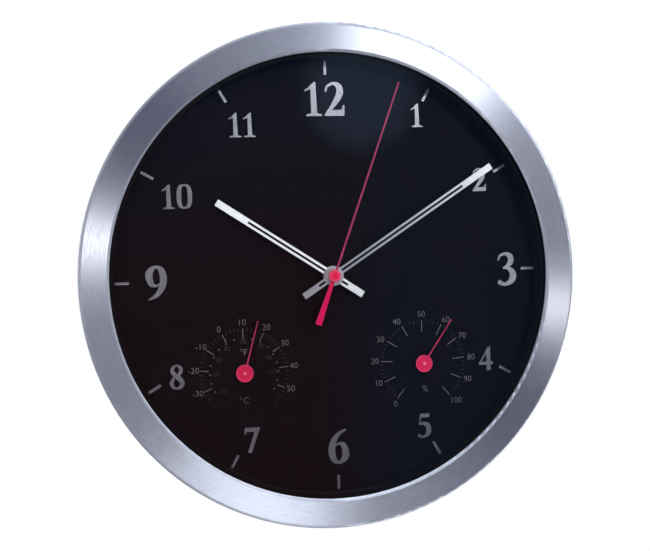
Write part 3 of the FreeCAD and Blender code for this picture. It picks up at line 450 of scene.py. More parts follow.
def makeBezelMetal(look):
    # dull clouds over the rings; a lip is where the normal has left the front but not yet reached the side
    plain = {key: look[key] for key in ("metal", "stretch", "turn")}
    made, tree, shader, where = newMaterial("ringBrushedAluminium", **plain)
    rings = {"Vector": where, "Rings": look["rings"], "Arcs": look["arcs"]}
    streaks = useGroup(tree, ringBrushing, rings)["Streaks"]
    clouds = useGroup(tree, mouldGrain, {"Vector": where, "Grain Size": look["cloudGrain"]})["Clouds"]
    brushed = blendColors(tree, streaks, look["dark"], look["color"])
    dulled = blendColors(tree, look["dulling"], brushed, look["dull"])
    blendColors(tree, clouds, dulled, brushed, shader)
    facing = addNode(tree, "SeparateXYZ", {0: where.node.outputs["Normal"]}).outputs[1]
    start, end = [addNode(tree, "MapRange", {"Value": facing, "From Min": low, "From Max": high})
                  for low, high in (look["lipStart"], look["lipEnd"])]
    lip = calc(tree, "SUBTRACT", start.outputs["Result"], end.outputs["Result"])
    low, high = look["rough"]
    brushedRough = addNode(tree, "MapRange", {"Value": streaks, "To Min": low, "To Max": high})
    rough = addNode(tree, "Mix", {0: lip, 2: brushedRough.outputs["Result"], 3: look["lipRough"]})
    tree.links.new(rough.outputs[0], shader.inputs["Roughness"])
    tangent = addNode(tree, "Tangent", direction_type="RADIAL", axis="Y")
    tree.links.new(tangent.outputs["Tangent"], shader.inputs["Tangent"])
    addBump(tree, streaks, *look["bump"], shader)
    return made


# Glass: clear sheet that casts no shadow on the dial
glassLook = {"rough": 0.0, "ior": 1.5, "clear": 1.0, "color": (0.985, 0.995, 0.99)}


def makeGlass(look):
    made, tree, shader = newMaterial("clockGlass", **look)[:3]
    clear = addNode(tree, "BsdfTransparent")
    rays = addNode(tree, "LightPath")
    mixShaders(tree, rays.outputs["Is Shadow Ray"], shader, clear)
    return made


# Dial: matt black paint, slightly warm in places, with a few specks of dust
dialLook = {"color": (0.0020, 0.0020, 0.0028), "warm": (0.0034, 0.0024, 0.0028), "dust": (0.03, 0.03, 0.033),
            "dustCells": 190.0, "dustSize": 0.045, "specular": 0.02, "rough": (0.5, 0.6), "grain": 1800.0,
            "bump": (0.2, 0.00001)}


def makeDialPaint(look):
    made, tree, shader, where = newMaterial("blackDialPaint", specular=look["specular"])
    mould = useGroup(tree, mouldGrain, {"Vector": where, "Grain Size": look["grain"]})
    base = blendColors(tree, mould["Clouds"], look["color"], look["warm"])
    dust = useGroup(tree, specks, {"Vector": where, "Cells": look["dustCells"], "Size": look["dustSize"]})
    blendColors(tree, dust["Flecks"], base, look["dust"], shader)
    roughen(tree, mould["Clouds"], *look["rough"], shader)
    addBump(tree, mould["Height"], *look["bump"], shader)
    return made


dress(["bezel"], makeBezelMetal(bezelLook))
dress(["glass"], makeGlass(glassLook))
dress(["dial_plate"], makeDialPaint(dialLook))

# Screen-printed inks: flat pigment with bright metal flecks; silver gets a painted sheen, brighter towards
# the top right where the key lamp is
inkLook = {"metal": 0.9, "fleckSize": 0.42, "fleckGloss": 0.15, "paintedSheenGain": 1.75, "rise": (-8.0, 58.0),
           "riseWay": (0.45, 0.0, 0.90)}


def makeInk(name, color, fleckColor, rough=0.5, cells=2600.0, withPaintedSheen=False):
    made, tree, shader, where = newMaterial(name, metal=inkLook["metal"])
    flecks = useGroup(tree, specks, {"Vector": where, "Cells": cells, "Size": inkLook["fleckSize"]})["Flecks"]
    plainInk = blendColors(tree, flecks, color, fleckColor, shader)
    # painted sheen: the silver ink's colour is scaled up towards the top right, standing in for the lamp
    # light that falls there
    if withPaintedSheen:
        thick = addNode(tree, "VectorMath", {0: plainInk, "Scale": inkLook["paintedSheenGain"]}, operation="SCALE")
        along = vectorCalc(tree, "DOT_PRODUCT", where, inkLook["riseWay"])
        rise = softStep(tree, along, inkLook["rise"], milli)
        blendColors(tree, rise, plainInk, thick.outputs[0], shader)
    roughen(tree, flecks, rough, rough - inkLook["fleckGloss"], shader)
    return made


silverInk = makeInk("silverInk", (0.14, 0.14, 0.155), (0.52, 0.52, 0.56), rough=0.39, withPaintedSheen=True)
greyInk = makeInk("greyInk", (0.14, 0.14, 0.15), (0.28, 0.28, 0.30), cells=5000.0)
dimInk = makeInk("dimInk", (0.035, 0.035, 0.038), (0.08, 0.08, 0.088), cells=5000.0)
signInk = makeInk("signInk", (0.62, 0.62, 0.64), (0.72, 0.72, 0.74), cells=3000.0)

# Hands: aluminium brushed along two of them; angle is where each points, clockwise from twelve
hands = {"hour": {"color": (0.66, 0.66, 0.68), "angle": 303.6, "rough": 0.38, "stretch": 0.6},
         "minute": {"color": (0.80, 0.80, 0.83), "angle": 57.7, "rough": 0.33, "stretch": 0.7}}
handBrush = {"lines": 9000.0, "length": 90.0, "deeper": 0.88, "smoother": 0.05, "rougher": 0.07}


def makeHandMetal(name, color, angle, rough, stretch):
    # the streaks are turned to the hand's angle, and the tangent lies across it
    made, tree, shader, where = newMaterial(name, metal=1.0, stretch=stretch)
    turned = addNode(tree, "Mapping", {"Vector": where, "Rotation": (0, math.radians(90 - angle), 0)})
    streaks = useGroup(tree, straightBrushing, {"Vector": turned.outputs[0], "Lines": handBrush["lines"],
                                                "Length": handBrush["length"]})["Streaks"]
    deeper = tuple(c * handBrush["deeper"] for c in color)
    blendColors(tree, streaks, deeper, color, shader)
    low, high = rough - handBrush["smoother"], rough + handBrush["rougher"]
    roughen(tree, streaks, low, high, shader)
    turn = math.radians(angle)
    across = addNode(tree, "VectorTransform", {0: (math.cos(turn), 0.0, -math.sin(turn))},
                     vector_type="VECTOR", convert_from="OBJECT", convert_to="WORLD")
    tree.links.new(across.outputs[0], shader.inputs["Tangent"])
    return made


for hand, look in hands.items():
    dress([hand + "_hand"], makeHandMetal(hand + "HandAluminium", **look))

# Reds: enamel with rings round a hub, and the second hand's lacquer; a ring is (share of the reach, colour).
# Some rings are painted highlights on rims
redLook = {"specular": 0.1, "rough": 0.38, "grain": 3000.0, "cloudShade": 0.8, "bump": (0.15, 0.00001)}
reds = {"enamel": (0.52, 0.010, 0.065), "pale": (0.60, 0.07, 0.13), "rivet": (0.85, 0.50, 0.42),
        "needle": (0.36, 0.05, 0.12), "cap": (0.76, 0.004, 0.07), "capRimHighlight": (0.84, 0.22, 0.30)}
# the lighter ring near the cap's edge is a painted highlight on its rounded rim
capHub = {"reach": 3.65, "rings": [(0.0, reds["cap"]), (0.66, reds["cap"]), (0.76, reds["capRimHighlight"]),
                                   (0.84, reds["capRimHighlight"]), (0.95, reds["cap"])]}
# on the pointer discs the pale ring at the rim is a painted highlight on the edge; the other pale ring lies
# near the middle
pointerHub = {"reach": 5.2, "rings": [(0.0, reds["rivet"]), (0.10, reds["rivet"]), (0.16, reds["enamel"]),
                                      (0.27, reds["pale"]), (0.34, reds["enamel"]), (0.84, reds["enamel"]),
                                      (0.92, reds["pale"]), (0.99, reds["needle"])]}
secondRed = {"angle": 20.7, "tail": (0.56, 0.004, 0.075), "needle": (0.32, 0.042, 0.11),
             "edge": (0.16, 0.001, 0.035), "deeper": 0.86, "rough": 0.35, "starts": (3.5, 6.0),
             "shaded": (-0.45, 0.05)}


def makeRingedRed(name, place, reach, rings):
    made, tree, shader, where = newMaterial(name, specular=redLook["specular"], rough=redLook["rough"])
    centred = vectorCalc(tree, "SUBTRACT", where, (place[0] * milli, 0.0, place[1] * milli))
    radius = vectorCalc(tree, "LENGTH", vectorCalc(tree, "MULTIPLY", centred, (1, 0, 1)))
    ramp = addNode(tree, "ValToRGB", {"Fac": calc(tree, "DIVIDE", radius, reach * milli)})
    ramp.color_ramp.interpolation = "EASE"
    while len(ramp.color_ramp.elements) < len(rings):
        ramp.color_ramp.elements.new(0.5)    # moved to its place below
    for element, (start, color) in zip(ramp.color_ramp.elements, rings):
        element.position = start
        element.color = (*color, 1)
    mould = useGroup(tree, mouldGrain, {"Vector": where, "Grain Size": redLook["grain"]})
    clouded = tuple(c * redLook["cloudShade"] for c in reds["enamel"])
    blendColors(tree, mould["Clouds"], clouded, ramp.outputs["Color"], shader)
    addBump(tree, mould["Height"], *redLook["bump"], shader)
    return made


def makeNeedleRed(name, look):
    # duller along the needle, with painted shade along one long edge; the tail keeps the full red
    made, tree, shader, where = newMaterial(name, specular=redLook["specular"], rough=look["rough"])
    mould = useGroup(tree, mouldGrain, {"Vector": where, "Grain Size": redLook["grain"]})
    deeper = tuple(c * look["deeper"] for c in look["tail"])
    tail = blendColors(tree, mould["Clouds"], deeper, look["tail"])
    sine, cosine = math.sin(math.radians(look["angle"])), math.cos(math.radians(look["angle"]))
    along = vectorCalc(tree, "DOT_PRODUCT", where, (sine, 0.0, cosine))
    across = vectorCalc(tree, "DOT_PRODUCT", where, (cosine, 0.0, -sine))
    onNeedle = softStep(tree, along, look["starts"], milli)
    # painted shade: the strip along one long side of the needle takes the dark edge colour
    lit = softStep(tree, across, look["shaded"], milli)
    needle = blendColors(tree, lit, look["edge"], look["needle"])
    blendColors(tree, onNeedle, tail, needle, shader)
    addBump(tree, mould["Height"], *redLook["bump"], shader)
    return made


dress(["second_hand"], makeNeedleRed("redLacquer", secondRed))
dress(["second_hand_cap"], makeRingedRed("capRed", (0, 0), **capHub))
for instrument in ("thermometer", "hygrometer"):
    red = makeRingedRed(instrument + "Red", dial[instrument + "Place"], **pointerHub)
    dress([instrument + "_pointer"], red)

# Plastics: the nodes that each one is on, and its look
plasticGrain = {"strength": 0.35, "paler": 1.35, "lift": 0.004, "roughSpread": 0.08}
plastics = {
    "ringPlastic": (["spacer_ring"], {"color": (0.0035, 0.0032, 0.0034), "rough": 0.6, "specular": 0.08}),
    "coverPlastic": (["back_cover"], {"color": (0.018, 0.018, 0.019), "rough": 0.55, "grain": 1400.0,
                                      "depth": 0.00004}),
    "movementPlastic": (["movement_front_case", "movement_rear_case"],
                        {"color": (0.014, 0.014, 0.015), "rough": 0.42, "grain": 2600.0}),
    "bridgePlastic": (["train_bridge"], {"color": (0.05, 0.05, 0.055), "rough": 0.45}),
    "washerRubber": (["shaft_washer"], {"color": (0.015, 0.015, 0.015), "rough": 0.75}),
    "boardLacquer": (["circuit_board"], {"color": (0.02, 0.11, 0.045), "rough": 0.3}),
    "ferrite": (["rotor"], {"color": (0.06, 0.06, 0.065), "rough": 0.5}),
    "wheelNylon": (["fifth_wheel", "third_wheel", "second_wheel", "centre_wheel", "cannon_pinion",
                    "minute_wheel", "hour_wheel"],
                   {"color": (0.72, 0.71, 0.66), "rough": 0.4, "depth": 0.00001}),
    "knobPlastic": (["setting_knob"], {"color": (0.55, 0.55, 0.53), "rough": 0.45}),
}


def makePlastic(name, color, rough, grain=2200.0, depth=0.00002, specular=0.45):
    # cloudy changes of colour and gloss over the fine grain of the mould
    made, tree, shader, where = newMaterial(name, specular=specular)
    mould = useGroup(tree, mouldGrain, {"Vector": where, "Grain Size": grain})
    paler = tuple(min(1.0, c * plasticGrain["paler"] + plasticGrain["lift"]) for c in color)
    blendColors(tree, mould["Clouds"], color, paler, shader)
    change = plasticGrain["roughSpread"]
    roughen(tree, mould["Clouds"], rough - change, rough + change, shader)
    addBump(tree, mould["Height"], plasticGrain["strength"], depth, shader)
    return made


for name, (on, look) in plastics.items():
    dress(on, makePlastic(name, **look))

# Other metals, drawn or turned: lines are counted across the streaks and length along them
metalBrush = {"shade": 0.8, "roughSpread": 0.08}
metals = {
    "burnishedBrass": (["shaft_nut"], {"color": (0.30, 0.24, 0.15), "rough": 0.35}),
    "screwSteel": (["back_cover_screws"], {"color": (0.60, 0.60, 0.62), "rough": 0.32, "lines": 2500.0,
                                           "length": 600.0}),
    "platedSteel": (["hanger_plate"], {"color": (0.66, 0.66, 0.64), "rough": 0.34, "lines": 900.0,
                                       "length": 300.0}),
    "nickelSpring": (["positive_contact", "negative_contact"], {"color": (0.72, 0.70, 0.66), "rough": 0.22}),
    "canSteel": (["quartz_crystal"], {"color": (0.78, 0.78, 0.78), "rough": 0.2}),
    "softIron": (["stator", "coil_core"], {"color": (0.42, 0.41, 0.40), "rough": 0.4}),
    "copperWire": (["motor_coil"], {"color": (0.75, 0.36, 0.18), "rough": 0.3, "lines": 8000.0,
                                    "length": 8000.0}),
}
instrumentMetals = {
    "Brass": (["_base", "_cup"], {"color": (0.78, 0.60, 0.32), "rough": 0.3, "lines": 1200.0,
                                  "length": 120.0}),
    "Bimetal": (["_coil"], {"color": (0.70, 0.62, 0.48), "rough": 0.32}),
    "Arbor": (["_arbor"], {"color": (0.62, 0.62, 0.64), "rough": 0.28}),
}


def makeMetal(name, color, rough, lines=3000.0, length=200.0):
    made, tree, shader, where = newMaterial(name, metal=1.0)
    streaks = useGroup(tree, straightBrushing, {"Vector": where, "Lines": lines, "Length": length})["Streaks"]
    shaded = tuple(c * metalBrush["shade"] for c in color)
    blendColors(tree, streaks, shaded, color, shader)
    change = metalBrush["roughSpread"]
    roughen(tree, streaks, rough - change, rough + change, shader)
    return made


for name, (on, look) in metals.items():
    dress(on, makeMetal(name, **look))
for instrument in ("thermometer", "hygrometer"):
    for name, (ends, look) in instrumentMetals.items():
        dress([instrument + end for end in ends], makeMetal(instrument + name, **look))
print("materials made:", len(bpy.data.materials))

# Numerals: centre x, centre z and height of each hour, seen upright; gap and margin are shares of the height
numerals = {"cell": 0.22, "cellHeight": 20.0, "gap": 0.055, "margin": 0.06, "places": {
    "12": (-0.8, 106.2, 20.4), "11": (-51.0, 91.2, 14.5), "10": (-91.1, 49.8, 14.4),
    "9": (-105.2, -0.3, 20.4), "8": (-95.1, -56.0, 14.6), "7": (-51.8, -96.0, 14.9),
    "6": (0.7, -103.4, 21.1), "5": (55.0, -94.2, 14.8), "4": (95.9, -55.1, 14.7),
    "3": (111.4, 0.0, 20.7), "2": (95.2, 55.8, 14.3), "1": (56.5, 95.8, 14.3)}}


def numeralPatches(words, centreX, centreZ, height):
    # digits side by side about the centre, each drawn on a grid of cells in proportion to its height
    widths = [digitShapes[d]["width"] * height for d in words]
    gap = numerals["gap"] * height
    margin = numerals["margin"] * height
    cell = numerals["cell"] * height / numerals["cellHeight"]
    left = centreX - (sum(widths) + gap * (len(words) - 1)) / 2
    patches = []
    for digit, width in zip(words, widths):
        u = np.arange(-margin, width + margin, cell) / height
        v = np.arange(-margin, height + margin, cell) / height
        gridX, gridZ = np.meshgrid(u, v)
        px, pz, faces = inkPatch(digitField(gridX, gridZ, digit), gridX, gridZ)
        patches.append((px * height + left, pz * height + centreZ - height / 2, faces))
        left += width + gap
    return patches


patches = [patch for words, place in numerals["places"].items() for patch in numeralPatches(words, *place)]
finishInk("dial_numerals", patches, silverInk)
print("numerals printed")

hourMarks = {"inner": 120.7, "outer": 129.05, "width": 1.6}
patches = [barPatch(0, 0, hour * 30, **hourMarks) for hour in range(12)]
finishInk("hour_marks", patches, silverInk)

# The two scales: angles clockwise from the top of each small dial; nudges set figures off by x and z
thermometer = {"place": dial["thermometerPlace"], "top": 10, "perTen": 28.15, "marks": (21.2, 26.4),
               "labels": 30.2, "numbered": (-30, 50), "fine": (-38, 58),
               "signs": {"°F": (0.1, 12.4), "°C": (-0.4, -16.3)},
               "nudges": {50: (0.0, 0.9), -30: (0.0, 0.9)}}
fahrenheit = {"top": 50, "perTen": 15.0, "dots": 20.5, "labels": 17.2, "dotted": (-30, 130),
              "numbered": (-30, 110),
              "nudges": {50: (0.0, 1.4), 30: (-1.1, 0.0), 70: (1.5, 0.6), -30: (1.5, -1.5)}}
hygrometer = {"place": dial["hygrometerPlace"], "top": 50, "perTen": 28.2, "marks": (19.3, 26.4),
              "labels": 30.3, "numbered": (0, 100), "fine": (0, 100), "signs": {"%": (0.9, -15.6)},
              "nudges": {0: (1.0, -0.3), 10: (0.0, 1.0), 30: (-1.0, -0.9), 40: (-1.5, -0.5), 60: (1.3, -0.6),
                         70: (0.6, -0.9), 80: (1.0, -0.5), 90: (0.6, 0.7), 100: (0.9, 0.9)}}
scalePrint = {"markWidth": 0.42, "fineMarks": (24.8, 27.0), "fineWidth": 0.3, "fineStep": 2,
              "dotRadius": 0.42, "label": 3.5, "threeDigitsOut": 1.5, "innerLabel": 2.7, "sign": 3.9}


def scaleAngle(scale, value):
    return (value - scale["top"]) / 10 * scale["perTen"]


def figurePatch(scale, place, value, reach, height):
    x, z = np.add(polar(place, reach, scaleAngle(scale, value)), scale["nudges"].get(value, (0, 0)))
    return textPatch(str(value), x, z, height)


def scalePatches(scale):
    # long marks with figures at each ten, and short marks at each second unit between them
    place, patches, finePatches = scale["place"], [], []
    low, high = scale["numbered"]
    for value in range(scale["fine"][0], scale["fine"][1] + 1, scalePrint["fineStep"]):
        angle = scaleAngle(scale, value)
        if value % 10 == 0 and low <= value <= high:
            reach = scale["labels"] + (scalePrint["threeDigitsOut"] if value > 99 else 0)
            patches.append(barPatch(*place, angle, *scale["marks"], scalePrint["markWidth"]))
            patches.append(figurePatch(scale, place, value, reach, scalePrint["label"]))
        else:
            finePatches.append(barPatch(*place, angle, *scalePrint["fineMarks"], scalePrint["fineWidth"]))
    return patches, finePatches


def fahrenheitPatches(place):
    # a dot at each ten and a small figure at each twenty, inside the Celsius scale
    dots, figures = [], []
    low, high = fahrenheit["dotted"]
    for value in range(low, high + 1, 10):
        dots.append(dotPatch(*polar(place, fahrenheit["dots"], scaleAngle(fahrenheit, value)),
                             scalePrint["dotRadius"]))
    low, high = fahrenheit["numbered"]
    for value in range(low, high + 1, 20):
        figures.append(figurePatch(fahrenheit, place, value, fahrenheit["labels"], scalePrint["innerLabel"]))
    return dots, figures


def printScale(name, scale, morePatches=(), moreFine=()):
    # marks, figures and signs in grey; short marks and inner figures in a dimmer film of their own
    patches, finePatches = scalePatches(scale)
    patches += morePatches
    for sign, (x, z) in scale["signs"].items():
        patches.append(textPatch(sign, scale["place"][0] + x, scale["place"][1] + z, scalePrint["sign"]))
    finishInk(name + "_scale", patches, greyInk)
    finishInk(name + "_fine_scale", [*finePatches, *moreFine], dimInk)


printScale("thermometer", thermometer, *fahrenheitPatches(thermometer["place"]))
printScale("hygrometer", hygrometer)
print("scales printed")


# Battery: a sleeve over a steel can, turned from a profile, in place of the plain cell
# Profile points are (distance, radius): base and crimp from the negative end, top back from the nub's foot
battery = {"sides": 96, "radius": 7.2, "base": [(0.25, 0.5), (0.25, 4.6), (0.0, 4.9), (0.0, 5.9)],
           "baseRound": 0.5, "crimp": [(0.9, 6.45), (1.0, 6.9)], "sleeveStart": 1.3, "sleeveRound": 0.3,
           "bandLength": 9.0, "shoulder": 1.5, "shoulderLead": 0.1, "shoulderRound": 1.2, "shoulderEnd": 20,
           "top": [(0.5, 5.6), (0.45, 3.4)], "nubFoot": 0.15, "nubRadius": 2.7, "nubLength": 1.0,
           "nubRound": 0.35, "poleRadius": 0.5}
can = {"color": (0.74, 0.74, 0.74), "rough": 0.28, "lines": 600.0, "length": 2500.0}
sleeve = {"grey": (0.045, 0.047, 0.052), "pale": (0.06, 0.062, 0.068), "band": (0.42, 0.43, 0.45),
          "rough": (0.28, 0.4), "grain": 2500.0, "specular": 0.5, "coat": 0.3, "coatRough": 0.12}
signs = {"size": 3.0, "width": 0.7, "lift": 0.02, "film": 0.02, "plusBack": 5.5, "minusIn": 4.5, "columns": 5,
         "rows": 9}


def turnedAlongX(name, profile, centreZ, stand, sides):
    # ring of points at each (x, radius) of the profile: y and z run round a circle about the line along X
    profile = np.array(profile, float)
    turn = np.arange(sides) * 2 * math.pi / sides
    x = np.repeat(profile[:, :1], sides, axis=1)
    y = -stand + profile[:, 1:] * np.cos(turn)
    z = centreZ + profile[:, 1:] * np.sin(turn)
    points = np.stack([x, y, z], -1).reshape(-1, 3)
    faces = list(gridFaces(len(profile), sides, closeColumns=True))
    faces.append(np.arange(sides)[::-1])
    faces.append(np.arange(sides) + (len(profile) - 1) * sides)
    return putMesh(name, points, faces)


def arcPoints(centreX, centreRadius, size, start, end, count=7):
    # part of a circle between two angles, as (x, radius) points: centre plus size times cosine and sine
    turn = np.radians(np.linspace(start, end, count))
    return [(centreX + size * math.cos(a), centreRadius + size * math.sin(a)) for a in turn]


def makeBattery():
    low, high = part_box("battery")
    first, last = low[0] / milli, high[0] / milli
    stand = -(low[1] + high[1]) / 2 / milli
    centreZ = (low[2] + high[2]) / 2 / milli
    r, edge, nubRound = battery["radius"], battery["sleeveRound"], battery["nubRound"]
    bodyEnd = last - battery["nubLength"]
    profile = [(first + x, radius) for x, radius in battery["base"]]
    profile += arcPoints(first + battery["baseRound"], battery["base"][-1][1], battery["baseRound"], 180, 90)
    profile += [(first + x, radius) for x, radius in battery["crimp"]]
    profile += arcPoints(first + battery["sleeveStart"], r - edge, edge, 180, 90)
    sleeveFirst = len(profile) - 4    # halfway round the edge
    shoulder = bodyEnd - battery["shoulder"]
    profile += [(first + battery["bandLength"], r), (shoulder - battery["shoulderLead"], r)]
    edge = battery["shoulderRound"]
    profile += arcPoints(shoulder, r - edge, edge, 90, battery["shoulderEnd"])
    sleeveLast = len(profile) - 1
    profile += [(bodyEnd - x, radius) for x, radius in battery["top"]]
    profile += [(bodyEnd - battery["nubFoot"], battery["nubRadius"] + battery["nubFoot"])]
    profile += arcPoints(last - nubRound, battery["nubRadius"] - nubRound, nubRound, 90, 0)
    profile += [(last, battery["poleRadius"])]
    cell = turnedAlongX("battery_cell", profile, centreZ, stand, battery["sides"])
    cell.data.materials.append(makeMetal("batteryCan", **can))
    cell.data.materials.append(makeSleeve(first + battery["bandLength"]))
    ring = np.arange(len(cell.data.polygons)) // battery["sides"]
    onSleeve = (ring >= sleeveFirst) & (ring < sleeveLast)
    cell.data.polygons.foreach_set("material_index", onSleeve.astype(np.int32))
    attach(cell, "battery")
    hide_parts("battery")
    makeSigns(centreZ, stand, bodyEnd - signs["plusBack"], first + signs["minusIn"])


def makeSleeve(bandEnd):
    # grey printed sleeve with a pale band round the negative end
    plain = {key: sleeve[key] for key in ("specular", "coat", "coatRough")}
    made, tree, shader, where = newMaterial("batterySleeve", **plain)
    band = calc(tree, "LESS_THAN", addNode(tree, "SeparateXYZ", {0: where}).outputs[0], bandEnd * milli)
    clouds = useGroup(tree, mouldGrain, {"Vector": where, "Grain Size": sleeve["grain"]})["Clouds"]
    grey = blendColors(tree, clouds, sleeve["grey"], sleeve["pale"])
    blendColors(tree, band, grey, sleeve["band"], shader)
    roughen(tree, clouds, *sleeve["rough"], shader)
    return made


def makeSigns(centreZ, stand, plusX, minusX):
    # plus and minus wrapped on the sleeve: x as drawn, the height turned into an angle round the cell
    reach = battery["radius"] + signs["lift"]
    half, thick = signs["size"] / 2, signs["width"] / 2
    rows, columns = signs["rows"], signs["columns"]
    plus = [(-half, half, -thick, thick), (-thick, thick, thick, half), (-thick, thick, -half, -thick)]
    minus = [(-thick, thick, -half, half)]
    for name, place, boxes in (("battery_plus", plusX, plus), ("battery_minus", minusX, minus)):
        points, faces = [], []
        for x0, x1, v0, v1 in boxes:
            x, v = np.meshgrid(np.linspace(x0, x1, columns), np.linspace(v0, v1, rows))
            turn = v / reach
            faces += list(gridFaces(rows, columns) + len(points) * rows * columns)
            y, z = -stand + reach * np.cos(turn), centreZ + reach * np.sin(turn)
            points.append(np.stack([x + place, y, z], -1).reshape(-1, 3))
        sign = putMesh(name, np.vstack(points), faces)
        film = sign.modifiers.new("film", "SOLIDIFY")
        film.thickness = signs["film"] * milli
        film.offset = 1.0
        sign.data.materials.append(signInk)
        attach(sign, "battery")


makeBattery()
print("battery made")


# Camera: place and axes found by fitting the dial's marks in the photograph
camera = {"place": (-0.15358, -0.72965, 0.01616), "right": (0.97742, -0.20852, -0.03411),
          "up": (0.03798, 0.01458, 0.99917), "lens": 66.16, "sensor": 36.0, "near": 0.01, "far": 100.0}


def makeCamera():
    right, up = Vector(camera["right"]).normalized(), Vector(camera["up"]).normalized()
    back = right.cross(up).normalized()
    up = back.cross(right)
    lens = bpy.data.cameras.new("camera")
    lens.lens, lens.sensor_width, lens.sensor_fit = camera["lens"], camera["sensor"], "HORIZONTAL"
    lens.clip_start, lens.clip_end = camera["near"], camera["far"]
    eye = bpy.data.objects.new("camera", lens)
    eye.matrix_world = Matrix.Translation(camera["place"]) @ Matrix((right, up, back)).transposed().to_4x4()
    bpy.context.scene.collection.objects.link(eye)
    bpy.context.scene.camera = eye


# Lamps: direction from the clock's middle, distance, width and height, power, tint, turn about its own beam
lamps = {
    "key": {"way": (0.39, -0.82, 0.40), "far": 2.50, "size": (0.78, 0.50), "power": 25.0,
            "tint": (0.96, 0.98, 1.0), "roll": 25},
    "side": {"way": (-0.29, -0.95, 0.067), "far": 1.40, "size": (0.07, 0.07), "power": 2.15,
             "tint": (1.0, 0.98, 0.96), "roll": 0},
    "right": {"way": (0.64, -0.76, -0.097), "far": 1.40, "size": (0.06, 0.06), "power": 0.85,
              "tint": (1.0, 0.99, 0.97), "roll": 0},
    "rear": {"way": (0.3, 0.8, 0.5), "far": 1.60, "size": (0.8, 0.8), "power": 14.0,
             "tint": (1.0, 1.0, 1.0), "roll": 0, "mirrored": False},
}


def makeLamps():
    for name, lamp in lamps.items():
        light = bpy.data.lights.new(name, "AREA")
        light.shape = "RECTANGLE"
        light.size, light.size_y = lamp["size"]
        light.energy = lamp["power"]
        light.color = lamp["tint"]
        holder = bpy.data.objects.new(name, light)
        way = Vector(lamp["way"]).normalized()
        rolled = Matrix.Rotation(math.radians(-lamp["roll"]), 3, "Z")
        turned = way.to_track_quat("Z", "Y").to_matrix() @ rolled
        holder.matrix_world = Matrix.Translation(way * lamp["far"]) @ turned.to_4x4()
        holder.visible_glossy = lamp.get("mirrored", True)
        bpy.context.scene.collection.objects.link(holder)


# Surroundings: white for the camera, an even fill for diffuse light, and a room for reflections
# The room is dark in front, warm or, to the right and above, cool; behind it is pale left and dark right
room = {"frontLow": (0.055, 0.016, 0.03), "frontHigh": (0.025, 0.04, 0.10), "coolRight": (0.19, 0.265),
        "coolUp": (-0.06, 0.16), "fill": (0.36, 0.37, 0.40),
        "rearLeft": (0.95, 0.96, 1.0), "rearRight": (0.12, 0.13, 0.15), "rearTurn": (0.0, 0.5),
        "turn": (-0.32, 0.20), "lean": 0.15,
        "gleam": (0.12, 0.19, 0.34), "gleamWay": (0.241, -0.962, 0.130), "gleamEdge": (0.9985, 0.99985),
        "haze": (1.24, 1.28, 1.38), "hazeWay": (0.438, 0.0, 0.899), "hazeMiddle": 0.07,
        "hazeEdge": (0.26, 0.60)}
floorLook = {"height": -0.45, "front": -1.1, "back": 6.0, "side": 4.0, "color": (0.8, 0.8, 0.8), "rough": 0.9,
             "mirrored": (0.45, 0.45, 0.47), "fade": (-0.9, 0.1)}
white = (1.0, 1.0, 1.0)


def frontColor(tree, way, axes, rays):
    # warm or cool dark, a gleam that the glass mirrors near twelve, and a haze that only blurred reflections
    # see: it starts some way along a slanting line, on both sides of the part that the glass mirrors
    toRight, upwards = softStep(tree, axes[0], room["coolRight"]), softStep(tree, axes[2], room["coolUp"])
    cool = calc(tree, "MAXIMUM", toRight, upwards)
    front = blendColors(tree, cool, room["frontLow"], room["frontHigh"])
    gleam = softStep(tree, vectorCalc(tree, "DOT_PRODUCT", way, room["gleamWay"]), room["gleamEdge"])
    front = blendColors(tree, gleam, front, room["gleam"])
    along = vectorCalc(tree, "DOT_PRODUCT", way, room["hazeWay"])
    apart = calc(tree, "ABSOLUTE", calc(tree, "SUBTRACT", along, room["hazeMiddle"]))
    blurred = calc(tree, "SUBTRACT", 1.0, rays["Is Singular Ray"])
    haze = calc(tree, "MULTIPLY", softStep(tree, apart, room["hazeEdge"]), blurred)
    return blendColors(tree, haze, front, room["haze"])


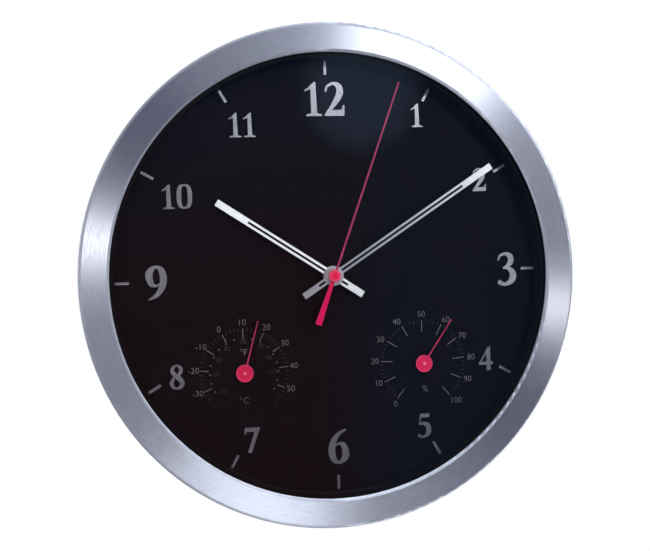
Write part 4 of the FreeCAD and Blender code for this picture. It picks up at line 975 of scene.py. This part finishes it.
def makeRoom():
    world = bpy.data.worlds.new("studio")
    bpy.context.scene.world = world
    world.use_nodes = True
    tree = world.node_tree
    tree.nodes.clear()
    way = addNode(tree, "TexCoord").outputs["Generated"]
    axes = addNode(tree, "SeparateXYZ", {0: way}).outputs
    rays = addNode(tree, "LightPath").outputs
    front = frontColor(tree, way, axes, rays)
    rear = blendColors(tree, softStep(tree, axes[0], room["rearTurn"]), room["rearLeft"], room["rearRight"])
    leaned = calc(tree, "MULTIPLY_ADD", calc(tree, "SUBTRACT", axes[2], axes[0]), room["lean"], axes[1])
    shown = blendColors(tree, softStep(tree, leaned, room["turn"]), front, rear)
    lit = blendColors(tree, rays["Is Diffuse Ray"], shown, room["fill"])
    seen = blendColors(tree, rays["Is Camera Ray"], lit, white)
    sky = addNode(tree, "Background", {"Color": seen, "Strength": 1.0})
    addNode(tree, "OutputWorld", {"Surface": sky.outputs[0]})


def makeFloor():
    # pale floor well below the clock: white for the camera, a grey that fades to the front for reflections
    x, front, rear = floorLook["side"], floorLook["front"], floorLook["back"]
    corners = np.array([[-x, front, 0], [x, front, 0], [x, rear, 0], [-x, rear, 0]])
    floor = putMesh("floor", (corners + [0, 0, floorLook["height"]]) / milli, [[0, 1, 2, 3]], smooth=False)
    made, tree, shader, where = newMaterial("floorWhite", color=floorLook["color"], rough=floorLook["rough"])
    rays = addNode(tree, "LightPath").outputs
    seen = rays["Is Camera Ray"]
    for kind in ("Is Glossy Ray", "Is Transmission Ray"):
        seen = calc(tree, "MAXIMUM", seen, rays[kind])
    depth = addNode(tree, "SeparateXYZ", {0: where}).outputs[1]
    fade = softStep(tree, depth, floorLook["fade"])
    shade = blendColors(tree, fade, room["frontLow"], floorLook["mirrored"])
    shade = blendColors(tree, rays["Is Camera Ray"], shade, white)
    mixShaders(tree, seen, shader, addNode(tree, "Emission", {"Color": shade, "Strength": 1.0}))
    floor.data.materials.append(made)


makeCamera()
makeLamps()
makeRoom()
makeFloor()
bpy.context.scene.view_settings.view_transform = "Standard"
print("camera, lamps and surroundings set")
